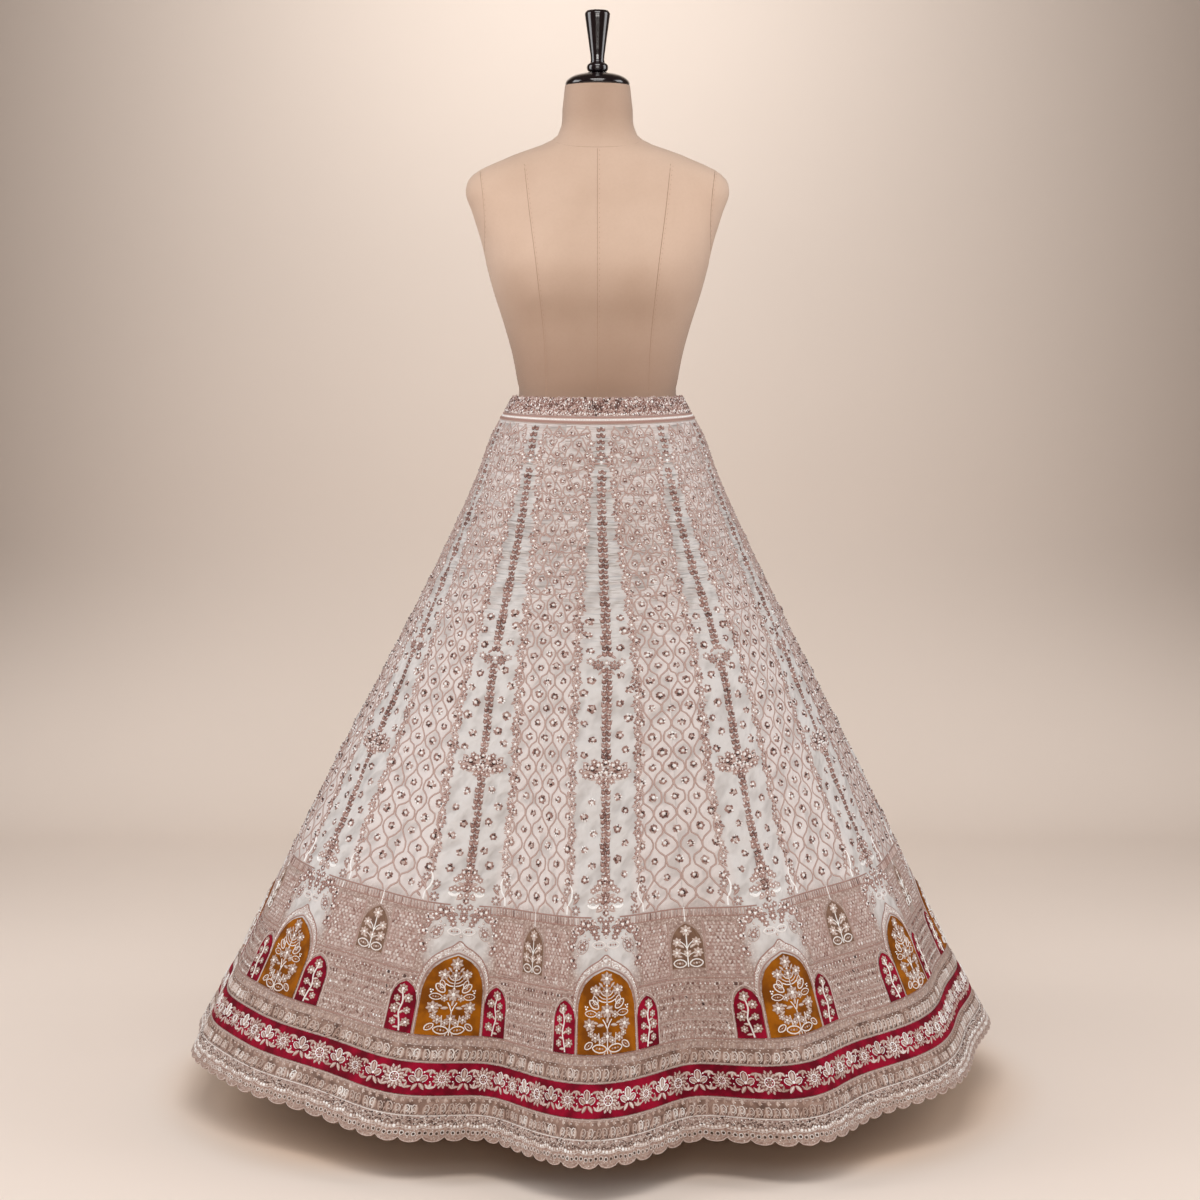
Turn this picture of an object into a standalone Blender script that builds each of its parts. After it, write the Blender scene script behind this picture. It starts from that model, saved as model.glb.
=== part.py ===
"""A flared lehenga skirt resting on a limbless dress form, one closed solid for each sewn piece.

Metres, +Z up, the wearer faces -Y. The origin is the middle of the stand's underside, on the floor.

The skirt's cloth is one smooth surface, read at (u, v): u counts kalis, the gored panels, round the
body with kali 0 in front and +u towards +X, and v runs from the waist seam (0) to the hem (1). Each
thread of the cloth lies straight in plan between its place on the waist and its place on the hem,
and the folds are soft ridges that grow towards the hem. The surface is then laid out as one faceted
sheet, and every panel and applique is made from that sheet's own points, moved outwards.
"""
from typing import NamedTuple

import bpy
import numpy as np

# ---- heights above the floor ----
HEM_Z = 0.048            # the hem floats above the floor
SKIRT_DROP = 0.923       # hem to waist, straight down, before the cloth is drawn up
WAIST_LIFT = 0.016       # how far the cloth's top is drawn up into the waist seam
WAIST_DRAW = 0.006       # how far it is drawn in there
LIFT_REACH = 0.15        # share of the length below which nothing is left of that
SEAM_Z = HEM_Z + SKIRT_DROP + WAIST_LIFT
PIPING_HEIGHT = 0.0102
BAND_HEIGHT = 0.0222
SEAM_GAP = 0.0003        # between the edges of neighbouring pieces
SLANT = 1.026            # waist seam to hem along the cloth, at the side
FRONT_DIP = 0.009        # the waist seam hangs lower in front than behind

# ---- cloth ----
CLOTH = 0.0016           # embroidered cloth, wall thickness
APPLIQUE = 0.0010        # arch, niche and hem band cloth
SKIN_GAP = 0.0007        # between the skirt and what is laid on it
KALIS = 12
WAIST_HALF_WIDTH = 0.152
WAIST_HALF_DEPTH = 0.124
HEM_RADIUS = 0.578       # before the folds
HEM_LIFT = 0.035         # the hem hangs this much higher at the sides and behind than in front
FOLD_GROWTH = 1.5        # power by which a fold grows from its start to the hem


class KaliLine(NamedTuple):
    """Where the middle of a kali starts on the waist and ends on the hem, clockwise from the front.

    Bow is how far it swings off the straight way between them, about a third of the way down.
    """
    waist_deg: float
    hem_deg: float
    bow_deg: float


KALI_LINES = (
    KaliLine(2, 1.3, 1.5), KaliLine(38, 29.7, 5.5), KaliLine(75, 58.5, 3.5),
    KaliLine(103, 88, 1.0), KaliLine(130, 119, 0.0), KaliLine(155.5, 150, 0.0),
    KaliLine(180, 181, 0.0), KaliLine(204.5, 212, 0.0), KaliLine(230, 243, 0.0),
    KaliLine(257, 273, 0.0), KaliLine(285, 302.4, -0.5), KaliLine(322, 337.6, -3.0),
)
BOW_V = 0.31             # where the bow is fullest
BOW_REACH = 0.11         # how far up and down it fades
PACE_V = 0.87            # the level at which kalis are spaced by the cloth's own length


class Flare(NamedTuple):
    """How far the skirt has opened (0 at the waist, 1 at the hem) at a share of its length."""
    v: float
    spread: float


FLARES = (
    Flare(0.0, 0.0), Flare(0.02, 0.024), Flare(0.07, 0.063), Flare(0.17, 0.156),
    Flare(0.31, 0.297), Flare(0.55, 0.547), Flare(0.75, 0.744), Flare(0.9, 0.890),
    Flare(1.0, 1.0),
)


class Fold(NamedTuple):
    """A soft ridge (rise > 0) or trough at the hem: its angle, rise, half breadth and first v."""
    at_deg: float
    rise: float
    breadth_deg: float
    start: float


FOLDS = (
    Fold(-1, 0.044, 5.5, 0.30), Fold(14.5, -0.055, 5.0, 0.35), Fold(28.5, 0.036, 5.5, 0.30),
    Fold(40, -0.006, 5.5, 0.35), Fold(55, 0.014, 8.0, 0.30), Fold(74, -0.012, 7.0, 0.30),
    Fold(93, 0.012, 8.0, 0.50), Fold(112, -0.036, 6.5, 0.20), Fold(130, 0.036, 7.0, 0.15),
    Fold(148, -0.032, 6.0, 0.30), Fold(165, 0.036, 6.5, 0.25), Fold(183, -0.040, 6.0, 0.30),
    Fold(200, 0.040, 7.0, 0.20), Fold(219, -0.030, 6.5, 0.30), Fold(236, 0.030, 7.0, 0.20),
    Fold(254, -0.026, 6.0, 0.25), Fold(268, 0.018, 6.0, 0.20), Fold(289, 0.030, 7.0, 0.10),
    Fold(304, 0.018, 7.0, 0.25), Fold(318, -0.004, 6.0, 0.35), Fold(331.5, 0.016, 6.0, 0.35),
    Fold(343.5, -0.048, 5.0, 0.35),
)

# ---- applique, in shares of a kali's width (across) and of the skirt's length (down) ----
EDGING_V = 1 - 0.022 / SLANT       # the scalloped edging starts here
BAND_BOTTOM_V = 1 - 0.060 / SLANT
BAND_TOP_V = 1 - 0.102 / SLANT
ARCH_FOOT_V = BAND_TOP_V - 0.037 / SLANT
ARCH_HEIGHT_V = 0.109 / SLANT
ARCH_HALF_U = 0.155
NICHE_INNER_U = 0.171
NICHE_OUTER_U = 0.302
NICHE_HEIGHT_V = 0.068 / SLANT
LEAST_HEAD_SHARE = 0.15            # of an applique's height, above its middle level
SCALLOPS_PER_KALI = 11
SCALLOP_DEPTH_V = 0.006 / SLANT
SCALLOP_ROUNDNESS = 0.6            # power of the sine that draws a scallop; lower is squarer
SCALLOP_STEPS = (0.0, 0.2, 0.5, 0.8)   # the shares of a scallop at which its edge has a point


class ArchColumn(NamedTuple):
    """An arch's height at a share of its half width from the middle."""
    across: float
    height: float


ARCH_OUTLINE = (
    ArchColumn(-1.0, 0.60), ArchColumn(-0.72, 0.85), ArchColumn(-0.36, 0.96),
    ArchColumn(0.0, 1.0), ArchColumn(0.36, 0.96), ArchColumn(0.72, 0.85), ArchColumn(1.0, 0.60),
)
NICHE_OUTLINE = (
    ArchColumn(-1.0, 0.66), ArchColumn(-0.5, 0.92), ArchColumn(0.0, 1.0),
    ArchColumn(0.5, 0.92), ArchColumn(1.0, 0.66),
)


class WaistLevel(NamedTuple):
    """A level of the waist's pieces: height above the seam, half width and half depth."""
    rise: float
    half_width: float
    half_depth: float


SEAM_LEVEL = WaistLevel(0.0, WAIST_HALF_WIDTH - WAIST_DRAW, WAIST_HALF_DEPTH - WAIST_DRAW)
PIPING_TOP = WaistLevel(PIPING_HEIGHT, 0.1395, 0.1125)
BAND_TOP = WaistLevel(PIPING_HEIGHT + BAND_HEIGHT, 0.1265, 0.1015)
PIPING_SWELL = 0.0012    # how far each of the two cords stands out of the tape
DIP_FADE = 0.8           # share of the seam's dip that is gone at the waistband's top

# ---- the facets of the cloth ----
COLUMNS_AT_SCALLOPS = (0.0, 1.0, 2.0, 3.8, 5.5, 7.2, 9.0, 10.0, 11.0)   # on scallop steps
COLUMNS_U = tuple(step / SCALLOPS_PER_KALI - 0.5 for step in COLUMNS_AT_SCALLOPS)
ARCH_MIDDLE_V = 0.81
ROWS_V = (0.0, 0.05, 0.13, 0.25, 0.39, 0.54, 0.68, 0.755, ARCH_MIDDLE_V, ARCH_FOOT_V, BAND_TOP_V,
          BAND_BOTTOM_V, EDGING_V, 1.0)
WAIST_COLUMNS = 48


class BodySection(NamedTuple):
    """A level of the dress form: height, half width, reach to front and back, and squareness.

    Squareness is the power of its oval: 2 is an ellipse and more is squarer.
    """
    z: float
    half_width: float
    front: float
    back: float
    squareness: float


FORM_SECTIONS = (
    BodySection(0.640, 0.1580, 0.0980, 0.1040, 2.2), BodySection(0.648, 0.1640, 0.1030, 0.1110, 2.2),
    BodySection(0.700, 0.1720, 0.1080, 0.1200, 2.2), BodySection(0.780, 0.1760, 0.1110, 0.1270, 2.2),
    BodySection(0.850, 0.1715, 0.1130, 0.1270, 2.1), BodySection(0.910, 0.1620, 0.1160, 0.1240, 2.0),
    BodySection(0.945, 0.1550, 0.1195, 0.1225, 2.0), BodySection(0.966, 0.1490, 0.1190, 0.1219, 2.0),
    BodySection(0.9905, 0.1375, 0.1103, 0.1125, 2.0), BodySection(1.003, 0.1270, 0.1000, 0.1000, 2.0),
    BodySection(1.021, 0.1172, 0.0915, 0.0885, 2.0), BodySection(1.045, 0.1203, 0.0935, 0.0890, 2.0),
    BodySection(1.079, 0.1266, 0.0980, 0.0925, 2.1), BodySection(1.128, 0.1400, 0.1070, 0.1010, 2.1),
    BodySection(1.175, 0.1550, 0.1270, 0.1090, 2.2), BodySection(1.208, 0.1640, 0.1330, 0.1130, 2.2),
    BodySection(1.250, 0.1740, 0.1240, 0.1150, 2.2), BodySection(1.292, 0.1870, 0.1050, 0.1110, 2.3),
    BodySection(1.328, 0.1970, 0.0880, 0.0990, 2.4), BodySection(1.346, 0.1900, 0.0800, 0.0900, 2.4),
    BodySection(1.358, 0.1740, 0.0750, 0.0840, 2.4), BodySection(1.371, 0.1450, 0.0690, 0.0770, 2.3),
    BodySection(1.383, 0.1170, 0.0630, 0.0700, 2.2), BodySection(1.394, 0.0850, 0.0580, 0.0640, 2.0),
    BodySection(1.405, 0.0640, 0.0550, 0.0600, 2.0), BodySection(1.420, 0.0555, 0.0530, 0.0565, 2.0),
    BodySection(1.450, 0.0525, 0.0515, 0.0535, 2.0), BodySection(1.4835, 0.0487, 0.0487, 0.0500, 2.0),
)
FORM_COLUMNS = 24


class Turned(NamedTuple):
    """A point on a turned piece's outline."""
    z: float
    radius: float


CAP_OUTLINE = (
    Turned(1.4838, 0.0470), Turned(1.4860, 0.0482), Turned(1.4895, 0.0474),
    Turned(1.4950, 0.0420), Turned(1.4995, 0.0320), Turned(1.5032, 0.0150),
)
FINIAL_OUTLINE = (
    Turned(1.5035, 0.0088), Turned(1.5045, 0.0125), Turned(1.5068, 0.0153),
    Turned(1.5105, 0.0161), Turned(1.5142, 0.0153), Turned(1.5168, 0.0125),
    Turned(1.5185, 0.0104), Turned(1.5230, 0.0103), Turned(1.5560, 0.0145),
    Turned(1.5890, 0.0188), Turned(1.5935, 0.0188), Turned(1.5958, 0.0168), Turned(1.5970, 0.0120),
)
TURNED_COLUMNS = 20
POLE_RADIUS = 0.016
POLE_COLUMNS = 16
BASE_RADIUS = 0.190
BASE_THICKNESS = 0.018
BASE_EDGE = 0.004
BASE_COLUMNS = 40


# ---------------------------------------------------------------- curves and surfaces

def smooth(x, known_x, known_y):
    """Read a smooth curve through a table's rows at x (cubic, with slopes from the neighbours)."""
    known_x, known_y = np.asarray(known_x, float), np.asarray(known_y, float)
    slope = np.gradient(known_y, known_x)
    row = np.clip(np.searchsorted(known_x, x, side="right") - 1, 0, len(known_x) - 2)
    width = known_x[row + 1] - known_x[row]
    t = (x - known_x[row]) / width
    return ((2 * t**3 - 3 * t**2 + 1) * known_y[row] + (t**3 - 2 * t**2 + t) * width * slope[row]
            + (3 * t**2 - 2 * t**3) * known_y[row + 1] + (t**3 - t**2) * width * slope[row + 1])


def running_table(end):
    """The kalis' angles on the waist or the hem in degrees, running on one turn both ways."""
    return np.array([getattr(line, end) + turn for turn in (-360, 0, 360) for line in KALI_LINES], float)


def waist_angle(u):
    """Angle in radians, on the waist, of the thread at u."""
    return np.radians(smooth(u, np.arange(-KALIS, 2 * KALIS), running_table("waist_deg")))


def hem_angle(u, v):
    """Angle in radians, on the hem, of the thread at u, swung by its bow at v.

    The kalis share out the cloth's own length in and out of the folds, not the angle.
    """
    at = np.arange(-KALIS, 2 * KALIS)
    degrees = np.arange(-420.0, 780.5, 0.5)
    reach = spread_at(PACE_V) * HEM_RADIUS + fold_reach(np.radians(degrees), PACE_V)
    pace = np.hypot(reach, np.gradient(reach, np.radians(degrees)))
    length = np.concatenate([[0.0], np.cumsum(0.5 * (pace[1:] + pace[:-1]))])
    here = smooth(u, at, np.interp(running_table("hem_deg"), degrees, length))
    bow = smooth(u, at, running_table("bow_deg") - np.repeat((-360, 0, 360), KALIS))
    swing = bow * np.exp(-0.5 * ((v - BOW_V) / BOW_REACH) ** 2)
    return np.radians(np.interp(here, length, degrees) + swing)


def spread_at(v):
    """How far the skirt has opened at v, read from its table."""
    return smooth(v, [row.v for row in FLARES], [row.spread for row in FLARES])


def fold_reach(angle, v):
    """How far the folds carry the cloth outwards at a hem angle and a share of the length."""
    total = np.zeros(np.broadcast(angle, v).shape)
    for fold in FOLDS:
        off = (np.degrees(angle) - fold.at_deg + 180) % 360 - 180
        grown = np.clip((v - fold.start) / (1 - fold.start), 0, 1) ** FOLD_GROWTH
        total += fold.rise * np.exp(-0.5 * (off / fold.breadth_deg) ** 2) * grown
    return total


def cloth_point(u, v):
    """Point on the skirt's smooth outer surface."""
    spread, drawn = spread_at(v), np.clip(1 - v / LIFT_REACH, 0, 1) ** 2
    waist, hem = waist_angle(u), hem_angle(u, v)
    hem_reach = spread * HEM_RADIUS + fold_reach(hem, v)
    x = (1 - spread) * (WAIST_HALF_WIDTH - WAIST_DRAW * drawn) * np.sin(waist) + hem_reach * np.sin(hem)
    y = -(1 - spread) * (WAIST_HALF_DEPTH - WAIST_DRAW * drawn) * np.cos(waist) - hem_reach * np.cos(hem)
    lift = HEM_LIFT * spread * (1 - np.clip(np.cos(hem), 0, None) ** 2) + WAIST_LIFT * drawn
    z = HEM_Z + SKIRT_DROP * (1 - v) + lift - waist_dip(waist) * (1 - spread)
    return np.stack(np.broadcast_arrays(x, y, z), axis=-1)


def waist_dip(angle):
    """The waist seam's dip below its height at the back."""
    return FRONT_DIP * (0.5 + 0.5 * np.cos(angle)) ** 2


def unit(vectors):
    """Vectors scaled to a length of 1."""
    return vectors / np.linalg.norm(vectors, axis=-1, keepdims=True)


def sheet_normals(points, closed):
    """Outward normals of a grid whose rows run downwards and whose columns run towards +u."""
    if closed:
        around = np.roll(points, -1, axis=1) - np.roll(points, 1, axis=1)
    else:
        around = np.gradient(points, axis=1)
    return unit(np.cross(np.gradient(points, axis=0), around))


class Cloth:
    """The skirt as a faceted sheet: rows down, columns all round, each with its outward normal."""

    def __init__(self):
        columns = [kali + u for kali in range(KALIS) for u in COLUMNS_U[:-1]]
        self.u = np.array(columns + [columns[0] + KALIS])
        self.v = np.array(ROWS_V)
        grid_u, grid_v = np.meshgrid(self.u[:-1], self.v)
        points = cloth_point(grid_u, grid_v)
        normals = sheet_normals(points, closed=True)
        self.points = np.concatenate([points, points[:, :1]], axis=1)
        self.normals = np.concatenate([normals, normals[:, :1]], axis=1)

    def at(self, u, v, out=0.0):
        """Points on the facets themselves at (u, v), moved outwards."""
        u, v = np.broadcast_arrays(np.asarray(u, float), np.asarray(v, float))
        turned = (u - self.u[0]) % KALIS + self.u[0]
        column = np.clip(np.searchsorted(self.u, turned, side="right") - 1, 0, len(self.u) - 2)
        row = np.clip(np.searchsorted(self.v, v, side="right") - 1, 0, len(self.v) - 2)
        s = ((turned - self.u[column]) / (self.u[column + 1] - self.u[column]))[..., None]
        t = ((v - self.v[row]) / (self.v[row + 1] - self.v[row]))[..., None]
        place = self._blend(self.points, row, column, s, t)
        return place + out * unit(self._blend(self.normals, row, column, s, t))

    @staticmethod
    def _blend(grid, row, column, s, t):
        """Read a grid inside one cell, on the two triangles that share its falling diagonal."""
        start, end = grid[row, column], grid[row + 1, column + 1]
        upper = start + s * (grid[row, column + 1] - start) + t * (end - grid[row, column + 1])
        lower = start + t * (grid[row + 1, column] - start) + s * (end - grid[row + 1, column])
        return np.where(s >= t, upper, lower)


# ---------------------------------------------------------------- meshes

def material(name, colour, roughness, metallic=0.0):
    """A Principled material, also used as the viewport colour."""
    made = bpy.data.materials.new(name)
    made.use_nodes = True
    made.diffuse_color = (*colour, 1.0)
    shader = made.node_tree.nodes["Principled BSDF"]
    shader.inputs["Base Color"].default_value = (*colour, 1.0)
    shader.inputs["Roughness"].default_value = roughness
    shader.inputs["Metallic"].default_value = metallic
    return made


def add_object(name, vertices, faces, finish):
    """Link a new mesh object made of these vertices and faces."""
    mesh = bpy.data.meshes.new(name)
    mesh.from_pydata([tuple(vertex) for vertex in vertices], [], faces)
    mesh.materials.append(finish)
    mesh.shade_smooth()
    mesh.set_sharp_from_angle(angle=np.radians(40))
    made = bpy.data.objects.new(name, mesh)
    bpy.context.collection.objects.link(made)
    return made


def grid_faces(rows, columns, closed, first=0, flip=False):
    """Triangles of a grid of vertices, every cell split along the same falling diagonal."""
    faces = []
    for row in range(rows - 1):
        for column in range(columns if closed else columns - 1):
            beside = (column + 1) % columns
            a, b = first + row * columns + column, first + row * columns + beside
            c, d = a + columns, b + columns
            pair = [(a, c, d), (a, d, b)]
            faces += [face[::-1] for face in pair] if flip else pair
    return faces


def border_loop(rows, columns):
    """Vertex numbers round the edge of an open grid, starting down its first column."""
    down = [row * columns for row in range(rows)]
    along = [(rows - 1) * columns + column for column in range(1, columns)]
    up = [row * columns + columns - 1 for row in range(rows - 2, -1, -1)]
    back = [column for column in range(columns - 2, 0, -1)]
    return down + along + up + back


def rim_faces(loop, offset):
    """Quads as triangle pairs between an outer loop and the same loop of the inner grid."""
    faces = []
    for here, there in zip(loop, loop[1:] + loop[:1]):
        faces += [(here, here + offset, there + offset), (here, there + offset, there)]
    return faces


def wall(name, outer, inner, closed, finish):
    """A cloth wall between an outer and an inner grid of the same shape."""
    rows, columns = outer.shape[:2]
    count = rows * columns
    faces = grid_faces(rows, columns, closed)
    faces += grid_faces(rows, columns, closed, first=count, flip=True)
    if closed:
        top = list(range(columns))
        bottom = [(rows - 1) * columns + column for column in range(columns)]
        faces += rim_faces(top[::-1], count) + rim_faces(bottom, count)
    else:
        faces += rim_faces(border_loop(rows, columns), count)
    vertices = np.concatenate([outer.reshape(-1, 3), inner.reshape(-1, 3)])
    return add_object(name, vertices, faces, finish)


def solid_of_rings(name, rings, finish):
    """A closed solid through rings that run upwards, with flat ends."""
    rows, columns = rings.shape[:2]
    faces = grid_faces(rows, columns, closed=True, flip=True)
    low, high = rows * columns, rows * columns + 1
    for column in range(columns):
        beside = (column + 1) % columns
        faces.append((low, beside, column))
        top = (rows - 1) * columns
        faces.append((high, top + column, top + beside))
    vertices = np.concatenate([rings.reshape(-1, 3), [rings[0].mean(0)], [rings[-1].mean(0)]])
    return add_object(name, vertices, faces, finish)


def round_angles(columns):
    """Evenly spaced angles from the front, towards +X."""
    return np.arange(columns) * 2 * np.pi / columns


def ring(half_width, front, back, z, columns, power=2.0):
    """One level ring, an ellipse or a squarer oval, deeper in front or behind."""
    angle = round_angles(columns)
    across, ahead = np.sin(angle), np.cos(angle)
    bulge = (np.abs(across) ** power + np.abs(ahead) ** power) ** (-1 / power)
    depth = np.where(ahead > 0, front, back)
    return np.stack([half_width * bulge * across, -depth * bulge * ahead,
                     np.full(columns, z)], axis=-1)


# ---------------------------------------------------------------- the stand and the form

def build_base(finish):
    """The flat round base, with a small chamfer on both edges."""
    levels = ((0.0, BASE_RADIUS - BASE_EDGE / 2), (BASE_EDGE / 2, BASE_RADIUS),
              (BASE_THICKNESS - BASE_EDGE, BASE_RADIUS), (BASE_THICKNESS, BASE_RADIUS - BASE_EDGE))
    rings = [ring(radius, radius, radius, z, BASE_COLUMNS) for z, radius in levels]
    return solid_of_rings("stand_base", np.array(rings), finish)


def build_pole(finish):
    """The pole between the base and the underside of the form."""
    ends = (BASE_THICKNESS + SEAM_GAP, FORM_SECTIONS[0].z - SEAM_GAP)
    rings = [ring(POLE_RADIUS, POLE_RADIUS, POLE_RADIUS, z, POLE_COLUMNS) for z in ends]
    return solid_of_rings("stand_pole", np.array(rings), finish)


def build_form(finish):
    """The padded torso with its neck, smooth through the table of sections."""
    rings = [ring(row.half_width, row.front, row.back, row.z, FORM_COLUMNS, row.squareness)
             for row in FORM_SECTIONS]
    return solid_of_rings("form_torso", np.array(rings), finish)


def build_turned(name, outline, finish):
    """A turned piece from its outline, low to high."""
    rings = [ring(row.radius, row.radius, row.radius, row.z, TURNED_COLUMNS) for row in outline]
    return solid_of_rings(name, np.array(rings), finish)


# ---------------------------------------------------------------- the skirt

def waist_ring(rise, out=0.0):
    """A ring of the waist's pieces at a rise above the seam; the dip fades towards the top."""
    levels = (SEAM_LEVEL, PIPING_TOP, BAND_TOP)
    rises = [level.rise for level in levels]
    width = np.interp(rise, rises, [level.half_width for level in levels]) + out
    depth = np.interp(rise, rises, [level.half_depth for level in levels]) + out
    angle = round_angles(WAIST_COLUMNS)
    dip = waist_dip(angle) * (1 - DIP_FADE * rise / BAND_TOP.rise)
    return np.stack([width * np.sin(angle), -depth * np.cos(angle), SEAM_Z + rise - dip], axis=-1)


def build_waistband(finish):
    """The beaded waistband, a wall of three rings."""
    rises = np.linspace(BAND_TOP.rise, PIPING_TOP.rise + SEAM_GAP, 3)
    outer = np.array([waist_ring(rise) for rise in rises])
    inner = np.array([waist_ring(rise, -CLOTH) for rise in rises])
    return wall("waistband", outer, inner, True, finish)


def build_piping(finish):
    """The tape under the waistband with its two rounded cords."""
    shares = (1.0, 0.75, 0.5, 0.25, 0.0)
    swells = (0.0, PIPING_SWELL, 0.0, PIPING_SWELL, 0.0)
    rises = [SEAM_GAP + share * (PIPING_HEIGHT - SEAM_GAP) for share in shares]
    outer = np.array([waist_ring(rise, swell) for rise, swell in zip(rises, swells)])
    inner = np.array([waist_ring(rise, -CLOTH) for rise in rises])
    return wall("waist_piping", outer, inner, True, finish)


def patch(cloth, name, u, v, low, thickness, finish):
    """A piece of cloth over a grid of (u, v), its inside `low` outside the skirt's surface."""
    return wall(name, cloth.at(u, v, low + thickness), cloth.at(u, v, low), False, finish)


def build_kali(cloth, kali, finish):
    """One gored panel, its side edges drawn in by half a seam's gap."""
    across, down = np.meshgrid(kali + np.array(COLUMNS_U), np.array(ROWS_V[:-1]))
    half_gap = 0.5 * SEAM_GAP
    outer, inner = cloth.at(across, down), cloth.at(across, down, -CLOTH)
    for grid in (outer, inner):
        inward = unit(grid[:, 1] - grid[:, 0])
        grid[:, 0] += half_gap * inward
        grid[:, -1] -= half_gap * unit(grid[:, -1] - grid[:, -2])
        grid[-1] -= SEAM_GAP * unit(grid[-1] - grid[-2])
    return wall(f"kali_{kali + 1:02d}", outer, inner, False, finish)


def build_hem_band(cloth, finish):
    """The plain velvet band laid all round above the hem."""
    across, down = np.meshgrid(cloth.u[:-1], np.array([BAND_TOP_V, BAND_BOTTOM_V]))
    outer = cloth.at(across, down, SKIN_GAP + APPLIQUE)
    return wall("hem_band", outer, cloth.at(across, down, SKIN_GAP), True, finish)


def build_arch(cloth, name, centre_u, half_u, height_v, outline, finish):
    """A round-headed applique standing on the arches' foot line, its middle level on the cloth's."""
    across = centre_u + half_u * np.array([column.across for column in outline])
    heads = ARCH_FOOT_V - height_v * np.array([column.height for column in outline])
    middle = np.maximum(ARCH_MIDDLE_V, heads + LEAST_HEAD_SHARE * (ARCH_FOOT_V - heads))
    down = np.stack([heads, middle, np.full(len(heads), ARCH_FOOT_V)])
    return patch(cloth, name, np.broadcast_to(across, down.shape), down, SKIN_GAP, APPLIQUE, finish)


def build_edging(cloth, quarter, finish):
    """A quarter of the scalloped edging below the panels."""
    kalis = KALIS // 4
    cusps = np.arange(SCALLOPS_PER_KALI * kalis)
    steps = np.append((cusps[:, None] + SCALLOP_STEPS).ravel(), SCALLOPS_PER_KALI * kalis)
    across = quarter * kalis - 0.5 + steps / SCALLOPS_PER_KALI
    drop = np.sin(np.pi * (steps % 1.0)) ** SCALLOP_ROUNDNESS
    down = np.stack([np.full(len(steps), EDGING_V), 1.0 - SCALLOP_DEPTH_V * (1 - drop)])
    across = np.broadcast_to(across, down.shape)
    outer, inner = cloth.at(across, down), cloth.at(across, down, -CLOTH)
    for grid in (outer, inner):
        grid[:, 0] += 0.5 * SEAM_GAP * unit(grid[:, 1] - grid[:, 0])
        grid[:, -1] -= 0.5 * SEAM_GAP * unit(grid[:, -1] - grid[:, -2])
    side = ("front_right", "back_right", "back_left", "front_left")[quarter]
    return wall(f"scalloped_edging_{side}", outer, inner, False, finish)


def build_skirt(ivory, rose, mustard, maroon):
    """Every piece of the skirt, from the waistband to the scalloped edging."""
    cloth = Cloth()
    build_waistband(rose)
    build_piping(rose)
    for kali in range(KALIS):
        build_kali(cloth, kali, ivory)
        build_arch(cloth, f"mustard_arch_{kali + 1:02d}", kali, ARCH_HALF_U, ARCH_HEIGHT_V,
                   ARCH_OUTLINE, mustard)
        for side, name in ((-1, "left"), (1, "right")):
            centre = kali + side * (NICHE_INNER_U + NICHE_OUTER_U) / 2
            half = (NICHE_OUTER_U - NICHE_INNER_U) / 2
            build_arch(cloth, f"niche_{name}_{kali + 1:02d}", centre, half, NICHE_HEIGHT_V,
                       NICHE_OUTLINE, maroon)
    build_hem_band(cloth, maroon)
    for quarter in range(4):
        build_edging(cloth, quarter, rose)


def main():
    """Clear the scene and build the whole part."""
    for existing in list(bpy.data.objects):
        bpy.data.objects.remove(existing, do_unlink=True)
    form_cloth = material("form_cloth", (0.74, 0.58, 0.46), 0.85)
    lacquer = material("black_lacquer", (0.012, 0.009, 0.010), 0.18)
    stand_paint = material("stand_paint", (0.03, 0.028, 0.028), 0.45)
    ivory = material("ivory_cloth", (0.80, 0.75, 0.71), 0.80)
    rose = material("rose_beadwork", (0.58, 0.42, 0.38), 0.55)
    mustard = material("mustard_velvet", (0.40, 0.15, 0.012), 0.80)
    maroon = material("maroon_velvet", (0.28, 0.004, 0.022), 0.80)
    build_base(stand_paint)
    build_pole(stand_paint)
    build_form(form_cloth)
    build_turned("form_cap", CAP_OUTLINE, lacquer)
    build_turned("form_finial", FINIAL_OUTLINE, lacquer)
    build_skirt(ivory, rose, mustard, maroon)


main()
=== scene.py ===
"""An embroidered lehenga skirt on a limbless dress form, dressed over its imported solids.

Metres, +Z up, the wearer faces -Y, and the origin is the middle of the stand's underside. The skirt's
cloth is one surface read at (u, v): u counts kalis, the gored panels, with kali 0 in front and +u
towards +X, and v runs from the waist seam (0) to the hem (1). Needlework is drawn flat, with x to
the right, y up and h out of the cloth, and is then laid on that surface.
"""

import logging
import math
from dataclasses import dataclass, field
from enum import Enum
from functools import partial
from typing import Any, Callable, Iterable, NamedTuple, Sequence, Union

import bpy
import numpy as np
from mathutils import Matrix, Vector
from numpy.typing import NDArray


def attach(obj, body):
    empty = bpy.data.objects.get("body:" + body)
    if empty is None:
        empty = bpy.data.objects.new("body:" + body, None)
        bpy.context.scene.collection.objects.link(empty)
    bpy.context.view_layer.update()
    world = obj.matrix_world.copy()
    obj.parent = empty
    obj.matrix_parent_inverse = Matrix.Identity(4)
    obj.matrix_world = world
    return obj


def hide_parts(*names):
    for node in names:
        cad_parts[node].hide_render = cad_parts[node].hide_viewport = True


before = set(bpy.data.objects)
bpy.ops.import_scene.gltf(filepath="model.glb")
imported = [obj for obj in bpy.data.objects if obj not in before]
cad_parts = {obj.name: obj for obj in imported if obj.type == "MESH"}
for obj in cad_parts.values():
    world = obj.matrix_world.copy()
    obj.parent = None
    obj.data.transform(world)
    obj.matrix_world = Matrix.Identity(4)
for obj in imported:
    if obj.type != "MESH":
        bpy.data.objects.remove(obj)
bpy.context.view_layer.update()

Array = NDArray[np.float64]
Faces = NDArray[np.int64]
Colour = tuple[float, float, float]
Number = Union[float, Array]

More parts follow.
